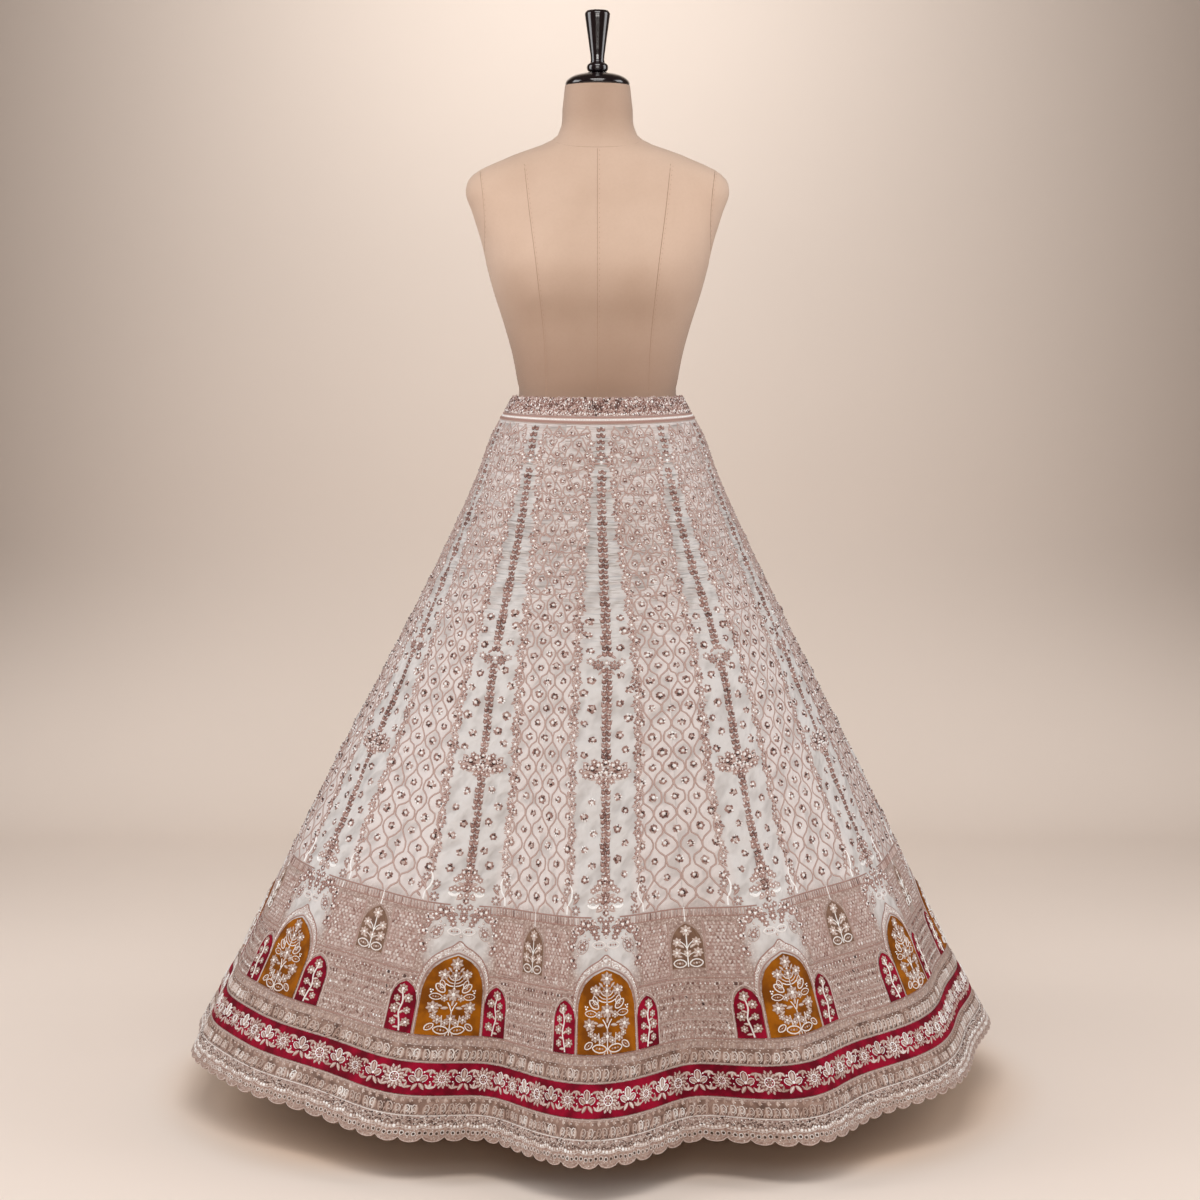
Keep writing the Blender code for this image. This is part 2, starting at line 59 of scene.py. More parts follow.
LOG = logging.getLogger("lehenga")
RANDOM = np.random.default_rng(12)
TAU = 2 * math.pi
ROOT = "root"
KALIS = 12

# ---- heights and levels, as in the part's own source ----
HEM_Z = 0.048
SKIRT_DROP = 0.923
WAIST_LIFT = 0.016
SEAM_Z = HEM_Z + SKIRT_DROP + WAIST_LIFT
SLANT = 1.026
PIPING_HEIGHT = 0.0102
BAND_HEIGHT = 0.0222
FRONT_DIP = 0.009
CLOTH = 0.0016
APPLIQUE = 0.001
SKIN_GAP = 0.0007
ON_APPLIQUE = SKIN_GAP + APPLIQUE
EDGING_HEIGHT = 0.022
EDGING_V = 1 - EDGING_HEIGHT / SLANT
VELVET_HEIGHT = 0.042
BAND_BOTTOM_V = 1 - 0.06 / SLANT
BAND_TOP_V = 1 - (0.06 + VELVET_HEIGHT) / SLANT
ARCH_FOOT_V = BAND_TOP_V - 0.037 / SLANT
ARCH_HEIGHT_V = 0.109 / SLANT
ARCH_HALF_U = 0.155
NICHE_INNER_U = 0.171
NICHE_OUTER_U = 0.302
NICHE_MIDDLE_U = (NICHE_INNER_U + NICHE_OUTER_U) / 2
NICHE_HALF_U = (NICHE_OUTER_U - NICHE_INNER_U) / 2
NICHE_HEIGHT_V = 0.068 / SLANT
SCALLOPS_PER_KALI = 11
SCALLOP_DEPTH_V = 0.006 / SLANT
SCALLOP_ROUNDNESS = 0.6
LADDER_TOP_V = 0.6905
LADDER_FOOT_V = 0.701


# ================================================================ small numeric helpers

def srgb(red: float, green: float, blue: float) -> Colour:
    """A display colour in 0-255 steps as linear light.

    Args:
        red, green, blue: the display colour's channels.
    Returns:
        The linear colour: ((c + 0.055) / 1.055) ** 2.4 above the toe of the curve.
    """
    def linear(channel: float) -> float:
        """One channel as linear light."""
        share = channel / 255
        return share / 12.92 if share < 0.04045 else ((share + 0.055) / 1.055) ** 2.4
    return linear(red), linear(green), linear(blue)


def unit(vectors: Array) -> Array:
    """Vectors scaled to a length of 1."""
    return vectors / np.maximum(np.linalg.norm(vectors, axis=-1, keepdims=True), 1e-12)


def smooth(x: Array, known_x: Sequence[float], known_y: Sequence[float]) -> Array:
    """Read a cubic Hermite curve through a table, with slopes from the neighbouring rows.

    Args:
        x: where to read.
        known_x, known_y: the table's two columns.
    Returns:
        h00 y0 + h10 w m0 + h01 y1 + h11 w m1 in each interval of width w.
    """
    kx, ky = np.asarray(known_x, float), np.asarray(known_y, float)
    slope = np.gradient(ky, kx)
    row = np.clip(np.searchsorted(kx, x, side="right") - 1, 0, len(kx) - 2)
    width = kx[row + 1] - kx[row]
    t = (x - kx[row]) / width
    return ((2 * t**3 - 3 * t**2 + 1) * ky[row] + (t**3 - 2 * t**2 + t) * width * slope[row]
            + (3 * t**2 - 2 * t**3) * ky[row + 1] + (t**3 - t**2) * width * slope[row + 1])


def smoothstep(low: Number, high: Number, x: Array) -> Array:
    """0 below low, 1 above high, and 3t^2 - 2t^3 between them."""
    t = np.clip((x - low) / (high - low), 0, 1)
    return t * t * (3 - 2 * t)


# ================================================================ the cloth's surface

class KaliLine(NamedTuple):
    """Where the middle of a kali starts on the waist and ends on the hem, clockwise from the front.

    Bow is how far it swings off the straight way between them, about a third of the way down.
    """
    waist_deg: float
    hem_deg: float
    bow_deg: float


class Flare(NamedTuple):
    """How far the skirt has opened at a share of its length."""
    v: float
    spread: float


class Fold(NamedTuple):
    """A soft ridge or trough at the hem: its angle, rise, half breadth and first v."""
    at_deg: float
    rise: float
    breadth_deg: float
    start: float


class Pucker(NamedTuple):
    """A small crease beside a centre line: its v, depth and half breadth in metres, reach and tilt.

    Reach is how far it runs from the centre line in shares of a kali, and tilt its fall in v over
    that reach. A negative depth is a trough.
    """
    v: float
    depth: float
    breadth: float
    reach: float
    tilt: float
    side: int


KALI_LINES = tuple(KaliLine(*row) for row in (
    (2, 1.3, 1.5), (38, 29.7, 5.5), (75, 58.5, 3.5), (103, 88, 1.0), (130, 119, 0.0), (155.5, 150, 0.0),
    (180, 181, 0.0), (204.5, 212, 0.0), (230, 243, 0.0), (257, 273, 0.0), (285, 302.4, -0.5),
    (322, 337.6, -3.0)))
FLARES = tuple(Flare(*row) for row in (
    (0.0, 0.0), (0.02, 0.024), (0.07, 0.063), (0.17, 0.156), (0.31, 0.297), (0.55, 0.547), (0.75, 0.744),
    (0.9, 0.89), (1.0, 1.0)))
FOLDS = tuple(Fold(*row) for row in (
    (-1, 0.044, 5.5, 0.3), (14.5, -0.055, 5.0, 0.35), (28.5, 0.036, 5.5, 0.3), (40, -0.006, 5.5, 0.35),
    (55, 0.014, 8.0, 0.3), (74, -0.012, 7.0, 0.3), (93, 0.012, 8.0, 0.5), (112, -0.036, 6.5, 0.2),
    (130, 0.036, 7.0, 0.15), (148, -0.032, 6.0, 0.3), (165, 0.036, 6.5, 0.25), (183, -0.04, 6.0, 0.3),
    (200, 0.04, 7.0, 0.2), (219, -0.03, 6.5, 0.3), (236, 0.03, 7.0, 0.2), (254, -0.026, 6.0, 0.25),
    (268, 0.018, 6.0, 0.2), (289, 0.03, 7.0, 0.1), (304, 0.018, 7.0, 0.25), (318, -0.004, 6.0, 0.35),
    (331.5, 0.016, 6.0, 0.35), (343.5, -0.048, 5.0, 0.35)))
PUCKERS = tuple(Pucker(*row) for row in (
    (0.078, -0.0007, 0.004, 0.16, 0.01, 1), (0.092, 0.0009, 0.0042, 0.18, 0.004, -1),
    (0.108, -0.001, 0.0036, 0.17, -0.004, 1), (0.121, 0.0011, 0.004, 0.2, 0.006, 1),
    (0.13, -0.0012, 0.0038, 0.18, 0.008, -1), (0.146, 0.0012, 0.0046, 0.2, 0.002, -1),
    (0.152, -0.0013, 0.0038, 0.16, 0.007, 1), (0.171, 0.0014, 0.005, 0.21, -0.003, 1),
    (0.176, -0.0013, 0.004, 0.2, 0.004, -1), (0.196, 0.0013, 0.0048, 0.18, 0.009, -1),
    (0.203, -0.0014, 0.004, 0.2, 0.003, 1), (0.222, 0.0012, 0.0052, 0.17, 0.01, 1),
    (0.229, -0.0012, 0.0044, 0.21, -0.004, -1), (0.249, 0.0013, 0.0056, 0.2, 0.006, -1),
    (0.256, -0.0012, 0.0048, 0.18, 0.008, 1), (0.281, 0.0011, 0.006, 0.2, 0.012, 1),
    (0.29, -0.0011, 0.0056, 0.2, 0.01, -1), (0.322, 0.001, 0.007, 0.18, 0.016, -1),
    (0.335, -0.001, 0.007, 0.2, 0.014, 1), (0.378, 0.0013, 0.01, 0.22, 0.03, 1),
    (0.405, -0.0014, 0.01, 0.22, 0.034, -1), (0.437, -0.0014, 0.011, 0.21, 0.04, 1),
    (0.466, 0.0013, 0.011, 0.22, 0.03, -1), (0.528, 0.0016, 0.013, 0.22, 0.05, 1),
    (0.552, -0.0015, 0.012, 0.21, 0.04, -1), (0.601, -0.0012, 0.013, 0.2, 0.04, 1),
    (0.632, 0.0012, 0.011, 0.2, 0.03, -1)))


@dataclass
class Drape:
    """The skirt's outer surface, with its folds and its small creases."""
    waist_half_width: float = 0.152
    waist_half_depth: float = 0.124
    waist_draw: float = 0.006
    lift_reach: float = 0.15
    bow_v: float = 0.31
    bow_reach: float = 0.11
    pace_v: float = 0.87
    hem_radius: float = 0.578
    hem_lift: float = 0.035
    fold_growth: float = 1.5
    probe: float = 2e-4
    widths: Array = field(init=False)

    def __post_init__(self) -> None:
        """Run off the cloth's own length round its folds, then the mean width of a kali."""
        self.degrees = np.arange(-420.0, 780.5, 0.5)
        angle = np.radians(self.degrees)
        reach = self.spread(self.pace_v) * self.hem_radius + self.fold_reach(angle, self.pace_v)
        pace = np.hypot(reach, np.gradient(reach, angle))
        self.lengths = np.concatenate([[0.0], np.cumsum(0.5 * (pace[1:] + pace[:-1]))])
        self.levels = np.linspace(0, 1, 101)
        u, v = np.meshgrid(np.linspace(0, KALIS, 1441), self.levels)
        ring = np.diff(self.plain(u, v), axis=1)
        self.widths = np.linalg.norm(ring, axis=-1).sum(1) / KALIS

    @staticmethod
    def _running(end: str, turn: float = 360.0) -> Array:
        """One column of the kalis' table, running on one turn both ways."""
        return np.array([getattr(line, end) + step for step in (-turn, 0, turn) for line in KALI_LINES])

    @staticmethod
    def spread(v: Array) -> Array:
        """How far the skirt has opened at v: 0 at the waist, 1 at the hem."""
        return smooth(v, [row.v for row in FLARES], [row.spread for row in FLARES])

    def waist_angle(self, u: Array) -> Array:
        """Angle in radians, on the waist, of the thread at u."""
        turned = np.mod(u + 1, KALIS) - 1
        return np.radians(smooth(turned, np.arange(-KALIS, 2 * KALIS), self._running("waist_deg")))

    def hem_angle(self, u: Array, v: Array) -> Array:
        """Angle on the hem, in radians, of the thread at u: shared out by the cloth's length, plus a bow."""
        turned, at = np.mod(u + 1, KALIS) - 1, np.arange(-KALIS, 2 * KALIS)
        here = smooth(turned, at, np.interp(self._running("hem_deg"), self.degrees, self.lengths))
        bow = smooth(turned, at, self._running("bow_deg", 0.0))
        swing = bow * np.exp(-0.5 * ((v - self.bow_v) / self.bow_reach) ** 2)
        return np.radians(np.interp(here, self.lengths, self.degrees) + swing)

    def fold_reach(self, angle: Array, v: Array) -> Array:
        """How far the folds carry the cloth out: rise * bell(angle) * grown(v), added up."""
        total = np.zeros(np.broadcast(angle, v).shape)
        for fold in FOLDS:
            off = (np.degrees(angle) - fold.at_deg + 180) % 360 - 180
            grown = np.clip((v - fold.start) / (1 - fold.start), 0, 1) ** self.fold_growth
            total += fold.rise * np.exp(-0.5 * (off / fold.breadth_deg) ** 2) * grown
        return total

    @staticmethod
    def crease(u: Array, v: Array) -> Array:
        """Height of the small creases beside each centre line.

        depth * bell((v - its own v) / breadth) * a window that opens away from the centre line and
        closes before the stripe's edge. Each kali has them a little higher or lower.
        """
        kali = np.round(u)
        off = u - kali
        shift = 0.012 * np.sin(2.4 * kali + 0.3) * np.minimum(1, np.abs(kali))
        total = np.zeros(np.broadcast(u, v).shape)
        for row in PUCKERS:
            turned = row.side * np.where(np.mod(kali, 2) == 0, 1, -1)
            away = off * turned
            centre = row.v + shift + row.tilt * away / row.reach
            bell = np.exp(-0.5 * ((v - centre) * SLANT / row.breadth) ** 2)
            window = smoothstep(0.0, 0.05, away) * (1 - smoothstep(0.75 * row.reach, 1.15 * row.reach, away))
            total += 1.8 * row.depth * bell * window
        return total

    @staticmethod
    def waist_dip(angle: Array) -> Array:
        """The waist seam's dip below its height at the back."""
        return FRONT_DIP * (0.5 + 0.5 * np.cos(angle)) ** 2

    def plain(self, u: Array, v: Array) -> Array:
        """Point on the surface without its small creases: the waist's oval blended into the hem's ring."""
        spread, drawn = self.spread(v), np.clip(1 - v / self.lift_reach, 0, 1) ** 2
        waist, hem = self.waist_angle(u), self.hem_angle(u, v)
        reach = spread * self.hem_radius + self.fold_reach(hem, v)
        draw = self.waist_draw * drawn
        x = (1 - spread) * (self.waist_half_width - draw) * np.sin(waist) + reach * np.sin(hem)
        y = -(1 - spread) * (self.waist_half_depth - draw) * np.cos(waist) - reach * np.cos(hem)
        lift = self.hem_lift * spread * (1 - np.clip(np.cos(hem), 0, None) ** 2) + WAIST_LIFT * drawn
        z = HEM_Z + SKIRT_DROP * (1 - v) + lift - self.waist_dip(waist) * (1 - spread)
        return np.stack(np.broadcast_arrays(x, y, z), axis=-1)

    def width(self, v: Number) -> Array:
        """Mean width of a kali at v, in metres."""
        return np.interp(v, self.levels, self.widths)

    def place(self, u: Array, v: Array, out: Number = 0.0) -> Array:
        """Points of the finished cloth, moved outwards.

        The plain surface, plus (creases + out) along its own normal, which is the cross product of
        its steps down and around.
        """
        u, v = np.broadcast_arrays(np.asarray(u, float), np.asarray(v, float))
        v = np.minimum(v, 1.0)
        here = self.plain(u, v)
        back = np.where(v > 0.5, -1.0, 1.0)
        down = (self.plain(u, v + back * self.probe) - here) * back[..., None]
        around = self.plain(u + self.probe, v) - here
        normal = unit(np.cross(down, around))
        return here + (self.crease(u, v) + out)[..., None] * normal


DRAPE = Drape()
STRIPE_LEVELS = (0.0, 0.05, 0.115, 0.255, 0.395, 0.5, 0.6, 0.69)
STRIPE_HALVES = (0.07, 0.09, 0.14, 0.196, 0.22, 0.222, 0.21, 0.19)


def stripe_half(v: Number) -> Array:
    """Half width of the plain stripe beside a centre line, as a share of a kali."""
    return np.interp(v, STRIPE_LEVELS, STRIPE_HALVES)


# ================================================================ meshes

def new_object(name: str, points: Array, faces: Union[Faces, list[Faces]],
               finish: bpy.types.Material, sharp_deg: float = 180.0) -> bpy.types.Object:
    """Link a mesh object that sits at the origin.

    Args:
        name: the piece's name.
        points: its vertices, (n, 3).
        faces: its triangles or quads, one array or several.
        finish: its material.
        sharp_deg: edges folded by more than this stay sharp.
    Returns:
        The new object.
    """
    groups = faces if isinstance(faces, list) else [faces]
    groups = [np.asarray(group, np.int32) for group in groups if len(group)]
    totals = np.concatenate([np.full(len(group), group.shape[1], np.int32) for group in groups])
    corners = np.concatenate([group.ravel() for group in groups])
    mesh = bpy.data.meshes.new(name)
    mesh.vertices.add(len(points))
    mesh.vertices.foreach_set("co", np.asarray(points, np.float32).ravel())
    mesh.loops.add(len(corners))
    mesh.loops.foreach_set("vertex_index", corners)
    mesh.polygons.add(len(totals))
    mesh.polygons.foreach_set("loop_start", np.concatenate([[0], np.cumsum(totals)[:-1]]).astype(np.int32))
    mesh.polygons.foreach_set("loop_total", totals)
    mesh.update(calc_edges=True)
    mesh.validate()
    mesh.shade_smooth()
    if sharp_deg < 180:
        mesh.set_sharp_from_angle(angle=math.radians(sharp_deg))
    mesh.materials.append(finish)
    made = bpy.data.objects.new(name, mesh)
    bpy.context.scene.collection.objects.link(made)
    return made


def add_uv(made: bpy.types.Object, uv: Array, name: str = "UVMap") -> None:
    """Give every corner of a mesh its vertex's own UV."""
    mesh = made.data
    corners = np.empty(len(mesh.loops), np.int32)
    mesh.loops.foreach_get("vertex_index", corners)
    layer = mesh.uv_layers.new(name=name)
    layer.data.foreach_set("uv", np.asarray(uv, np.float32)[corners].ravel())


def add_attribute(made: bpy.types.Object, name: str, values: Array) -> None:
    """Give a mesh one number for each vertex."""
    layer = made.data.attributes.new(name, "FLOAT", "POINT")
    layer.data.foreach_set("value", np.asarray(values, np.float32))


def grid_quads(rows: int, columns: int, closed: bool = False, first: int = 0, flip: bool = False) -> Faces:
    """Quads of a grid whose rows run downwards and whose columns run to the right.

    Args:
        rows, columns: the grid's size in points.
        closed: whether the last column joins the first.
        first: number of the grid's first vertex.
        flip: whether the faces look inwards.
    Returns:
        (n, 4) vertex numbers, turning left as seen from outside.
    """
    row, column = np.meshgrid(np.arange(rows - 1), np.arange(columns if closed else columns - 1),
                              indexing="ij")
    beside = (column + 1) % columns
    a = first + row * columns + column
    b = first + row * columns + beside
    quads = np.stack([a, a + columns, b + columns, b], axis=-1).reshape(-1, 4)
    return quads[:, ::-1] if flip else quads


def grid_triangles(rows: int, columns: int) -> Faces:
    """An open grid's quads, each cut in two."""
    quads = grid_quads(rows, columns)
    return np.concatenate([quads[:, [0, 1, 2]], quads[:, [0, 2, 3]]])


def rim_quads(outer: Array, inner: Array) -> Faces:
    """Quads between two matching loops; the outer one runs with the cloth on its left."""
    return np.stack([outer, inner, np.roll(inner, -1), np.roll(outer, -1)], axis=-1)


def border_of(numbers: Array) -> Array:
    """Vertex numbers round the edge of an open grid: down, along, up and back."""
    return np.concatenate([numbers[:, 0], numbers[-1, 1:], numbers[-2::-1, -1], numbers[0, -2:0:-1]])


def sheet_mesh(outer: Array, inner: Array, closed: bool) -> tuple[Array, list[Faces]]:
    """A closed cloth wall between an outer and an inner grid of the same shape.

    Args:
        outer, inner: (rows, columns, 3) points, rows downwards and columns to the right.
        closed: whether the cloth goes all round.
    Returns:
        The vertices and the faces.
    """
    rows, columns = outer.shape[:2]
    count = rows * columns
    numbers = np.arange(count).reshape(rows, columns)
    faces = [grid_quads(rows, columns, closed), grid_quads(rows, columns, closed, count, flip=True)]
    if closed:
        faces += [rim_quads(numbers[-1], numbers[-1] + count),
                  rim_quads(numbers[0][::-1], numbers[0][::-1] + count)]
    else:
        loop = border_of(numbers)
        faces.append(rim_quads(loop, loop + count))
    return np.concatenate([outer.reshape(-1, 3), inner.reshape(-1, 3)]), faces


def lathe(outline: Array, columns: int) -> tuple[Array, list[Faces]]:
    """A turned solid: (radius, z) points, low to high, carried round the Z axis, with its poles closed.

    Args:
        outline: (n, 2) radius and height, from the bottom up.
        columns: points in a ring.
    Returns:
        The vertices and the faces.
    """
    angle = np.arange(columns) * TAU / columns
    rings = outline[::-1]
    points = np.stack([rings[:, :1] * np.sin(angle), -rings[:, :1] * np.cos(angle),
                       np.broadcast_to(rings[:, 1:], (len(rings), columns))], axis=-1)
    return capped(points)


def capped(rings: Array) -> tuple[Array, list[Faces]]:
    """Close a stack of rings, the top one first, with a point in the middle of each end."""
    rows, columns = rings.shape[:2]
    count = rows * columns
    top, foot = rings[0].mean(0), rings[-1].mean(0)
    ring = np.arange(columns)
    beside = (ring + 1) % columns
    lid = np.stack([np.full(columns, count), ring, beside], axis=-1)
    base = np.stack([np.full(columns, count + 1), (rows - 1) * columns + beside,
                     (rows - 1) * columns + ring], axis=-1)
    return np.concatenate([rings.reshape(-1, 3), [top, foot]]), [grid_quads(rows, columns, True), lid, base]


# ================================================================ shader maths

class Signal:
    """A number socket that can be used in arithmetic, adding a Math node for each operation."""

    def __init__(self, bench: "Bench", socket: bpy.types.NodeSocket) -> None:
        """Wrap an output socket of the bench's tree."""
        self.bench, self.socket = bench, socket

    def _math(self, operation: str, *values: Any) -> "Signal":
        """The output of a Math node with these inputs."""
        return self.bench.signal("ShaderNodeMath", {"operation": operation}, dict(enumerate(values)))

    def __add__(self, other: Any) -> "Signal":
        """Sum."""
        return self._math("ADD", self, other)

    def __radd__(self, other: Any) -> "Signal":
        """Sum, with the number first."""
        return self._math("ADD", other, self)

    def __sub__(self, other: Any) -> "Signal":
        """Difference."""
        return self._math("SUBTRACT", self, other)

    def __rsub__(self, other: Any) -> "Signal":
        """Difference, with the number first."""
        return self._math("SUBTRACT", other, self)

    def __mul__(self, other: Any) -> "Signal":
        """Product."""
        return self._math("MULTIPLY", self, other)

    def __rmul__(self, other: Any) -> "Signal":
        """Product, with the number first."""
        return self._math("MULTIPLY", other, self)

    def __truediv__(self, other: Any) -> "Signal":
        """Quotient."""
        return self._math("DIVIDE", self, other)

    def __gt__(self, other: Any) -> "Signal":
        """1 where this is greater, otherwise 0."""
        return self._math("GREATER_THAN", self, other)

    def __lt__(self, other: Any) -> "Signal":
        """1 where this is less, otherwise 0."""
        return self._math("LESS_THAN", self, other)

    def __pow__(self, other: Any) -> "Signal":
        """Power."""
        return self._math("POWER", self, other)

    def sine(self) -> "Signal":
        """Sine."""
        return self._math("SINE", self)

    def size(self) -> "Signal":
        """Absolute value."""
        return self._math("ABSOLUTE", self)

    def least(self, other: Any) -> "Signal":
        """The smaller of the two."""
        return self._math("MINIMUM", self, other)


class Bench:
    """A material's node tree and the one method that adds nodes to it."""

    def __init__(self, name: str) -> None:
        """Start a material with its Principled shader."""
        self.material = bpy.data.materials.new(name)
        self.material.use_nodes = True
        self.tree = self.material.node_tree
        self.shader = self.tree.nodes["Principled BSDF"]

    def node(self, kind: str, settings: dict[str, Any] | None = None,
             inputs: dict[Any, Any] | None = None) -> bpy.types.Node:
        """Add a node.

        Args:
            kind: the node's type.
            settings: properties set before its sockets; "stops" fills a colour ramp.
            inputs: values or signals for its sockets, by name or number.
        Returns:
            The new node.
        """
        made = self.tree.nodes.new(kind)
        for key, value in (settings or {}).items():
            if key == "stops":
                self._fill_ramp(made, value)
            else:
                setattr(made, key, value)
        for key, value in (inputs or {}).items():
            self.feed(made.inputs[key], value)
        return made

    @staticmethod
    def _fill_ramp(made: bpy.types.Node, stops: Sequence[tuple[float, Colour]]) -> None:
        """Set a colour ramp's stops."""
        ramp = made.color_ramp
        while len(ramp.elements) < len(stops):
            ramp.elements.new(0.5)
        for element, (at, colour) in zip(ramp.elements, stops):
            element.position, element.color = at, (*colour, 1.0)

    def feed(self, socket: bpy.types.NodeSocket, value: Any) -> None:
        """Link a signal to a socket, or set a plain value on it."""
        if isinstance(value, Signal):
            self.tree.links.new(value.socket, socket)
        elif isinstance(value, tuple) and socket.type == "RGBA" and len(value) == 3:
            socket.default_value = (*value, 1.0)
        else:
            socket.default_value = value

    def signal(self, kind: str, settings: dict[str, Any] | None = None,
               inputs: dict[Any, Any] | None = None, out: Any = 0) -> Signal:
        """Add a node and wrap one of its outputs."""
        return Signal(self, self.node(kind, settings, inputs).outputs[out])

    def uv(self) -> Signal:
        """The piece's own UV."""
        return self.signal("ShaderNodeUVMap", {"uv_map": "UVMap"})

    def place(self) -> Signal:
        """The piece's own Object coordinates."""
        return self.signal("ShaderNodeTexCoord", out="Object")

    def attribute(self, name: str) -> Signal:
        """A number that the mesh carries on its vertices."""
        return self.signal("ShaderNodeAttribute", {"attribute_name": name}, out="Fac")

    def axes(self, vector: Signal) -> list[Signal]:
        """The three parts of a vector."""
        made = self.node("ShaderNodeSeparateXYZ", inputs={"Vector": vector})
        return [Signal(self, socket) for socket in made.outputs]

    def noise(self, where: Signal, scale: float, detail: float = 2.0, rough: float = 0.5) -> Signal:
        """Soft noise from 0 to 1."""
        return self.signal("ShaderNodeTexNoise", inputs={
            "Vector": where, "Scale": scale, "Detail": detail, "Roughness": rough}, out="Fac")

    def cells(self, where: Signal, scale: float, feature: str = "F1", out: str = "Distance") -> Signal:
        """Distance to the nearest of scattered points."""
        return self.signal("ShaderNodeTexVoronoi", {"feature": feature},
                           {"Vector": where, "Scale": scale}, out)

    def between(self, x: Signal, low: float, high: float) -> Signal:
        """Map low..high to 0..1, smoothly."""
        return self.signal("ShaderNodeMapRange", {"interpolation_type": "SMOOTHSTEP"},
                           {"Value": x, "From Min": low, "From Max": high})

    def ramp(self, x: Signal, stops: Sequence[tuple[float, Colour]]) -> Signal:
        """A colour read from stops."""
        return self.signal("ShaderNodeValToRGB", {"stops": stops}, {"Fac": x}, out="Color")

    def mix(self, factor: Any, first: Any, second: Any, blend: str = "MIX") -> Signal:
        """Two colours mixed."""
        return self.signal("ShaderNodeMix", {"data_type": "RGBA", "blend_type": blend},
                           {0: factor, 6: first, 7: second}, out=2)

    def bump(self, height: Signal, distance: float, strength: float = 1.0,
             normal: Signal | None = None) -> Signal:
        """A Normal from a height in 0..1."""
        inputs = {"Height": height, "Distance": distance, "Strength": strength}
        if normal is not None:
            inputs["Normal"] = normal
        return self.signal("ShaderNodeBump", inputs=inputs)

    def dress(self, **sockets: Any) -> bpy.types.Material:
        """Feed the shader's sockets, named with _ for a space, and return the material."""
        for name, value in sockets.items():
            self.feed(self.shader.inputs[name.replace("_", " ")], value)
        return self.material


# ================================================================ finishes

@dataclass(frozen=True)
class Needlework:
    """Thread, beads and sequins: 'tint' picks the colour and 'shine' how metallic and glossy it is."""
    name: str
    stops: tuple[tuple[float, Colour], ...]
    thread_pitch: float = 0.0009

    def make(self) -> bpy.types.Material:
        """Twisted thread shows as fine slanted ribs along each stitch's own run."""
        bench = Bench(self.name)
        tint, shine = bench.attribute("tint"), bench.attribute("shine")
        mottle = bench.noise(bench.place(), 900.0, 1.0)
        colour = bench.ramp(tint + (mottle - 0.5) * 0.12, self.stops)
        along, side, _ = bench.axes(bench.uv())
        twist = ((along / self.thread_pitch + side * 0.8) * TAU).sine() * 0.5 + 0.5
        ribs = twist * (1.0 - shine)
        return bench.dress(Base_Color=colour, Metallic=shine * 0.85, Roughness=0.58 - shine * 0.36,
                           Normal=bench.bump(ribs, 0.0002, 0.5), Specular_IOR_Level=0.4)


@dataclass(frozen=True)
class SkirtCloth:
    """Ivory georgette: fine weave, a blush ground where 'blush' says and stitching where 'worked' does."""
    name: str = "skirt_cloth"
    ivory: Colour = srgb(214, 210, 208)
    blush: Colour = srgb(223, 213, 210)
    worked: Colour = srgb(180, 158, 148)
    # Brown thread; it also paints the shade in the gaps between beads.
    shadow_thread: Colour = srgb(128, 94, 83)
    seed: Colour = srgb(242, 232, 227)
    grain: float = 330.0

    def make(self) -> bpy.types.Material:
        """Weave is two crossed waves on the cloth's own UV, in metres."""
        bench = Bench(self.name)
        uv = bench.uv()
        across, down, _ = bench.axes(uv)
        blush, worked = bench.attribute("blush"), bench.attribute("worked")
        soft = bench.noise(bench.place(), 9.0, 3.0)
        colour = bench.mix(blush * 0.85, self.ivory, self.blush)
        fleck = bench.between(bench.noise(bench.place(), 420.0, 2.0), 0.42, 0.64)
        grain = bench.cells(bench.place(), self.grain)
        worked_colour = bench.mix(fleck * 0.28, self.worked, self.shadow_thread)
        # Painted shade: darker towards each cell's edge, in the gaps between the painted beads.
        worked_colour = bench.mix(bench.between(grain, 0.45, 0.78) * 0.65, worked_colour, self.shadow_thread)
        worked_colour = bench.mix(1.0 - bench.between(grain, 0.1, 0.3), worked_colour, self.seed)
        colour = bench.mix(worked, colour, worked_colour)
        colour = bench.mix((soft - 0.3) * 0.12, colour, srgb(176, 150, 140))
        weave = (across * (TAU / 0.0007)).sine() * (down * (TAU / 0.0007)).sine() * 0.5 + 0.5
        crumple = bench.noise(bench.place(), 55.0, 3.0)
        domes = (1.0 - bench.between(grain, 0.0, 0.55)) * worked
        height = weave * 0.12 + crumple * 0.5 + domes * 0.9
        fine = bench.bump(height, 0.0012, 0.45)
        folded = bench.signal("ShaderNodeCombineXYZ",
                              inputs={0: across * 40.0 + down * 16.0, 1: down * 30.0, 2: bench.place()})
        folds = bench.noise(folded, 1.0, 2.0)
        # Painted shade in the soft folds of the plain cloth, from the same noise that bends its normal.
        colour = bench.mix(bench.between(folds, 0.46, 0.66) * (1.0 - worked) * 0.46, colour,
                           srgb(164, 156, 152))
        pulled = bench.signal("ShaderNodeCombineXYZ",
                              inputs={0: across * 22.0, 1: down * 105.0, 2: bench.place()})
        slack = bench.signal("ShaderNodeCombineXYZ",
                             inputs={0: across * 21.0, 1: down * 10.0, 2: bench.place()})
        high = (1.0 - bench.between(down, 0.18, 0.4)) * (1.0 - worked)
        drawn = bench.noise(pulled, 1.0, 2.0)
        # Painted shade in the horizontal creases of the upper third, from the same noise that creases the
        # normal.
        colour = bench.mix(bench.between(drawn, 0.5, 0.68) * high * 0.36, colour, srgb(168, 146, 137))
        wrinkles = (drawn * high * -1.5 + bench.noise(slack, 1.0, 2.0) * (1.0 - high) * 0.7
                    - folds * (1.0 - high) * 0.7)
        return bench.dress(Base_Color=colour, Roughness=0.5 + soft * 0.2,
                           Normal=bench.bump(wrinkles, 0.015, 0.9, fine), Sheen_Weight=0.15,
                           Sheen_Roughness=0.45, Specular_IOR_Level=0.4)


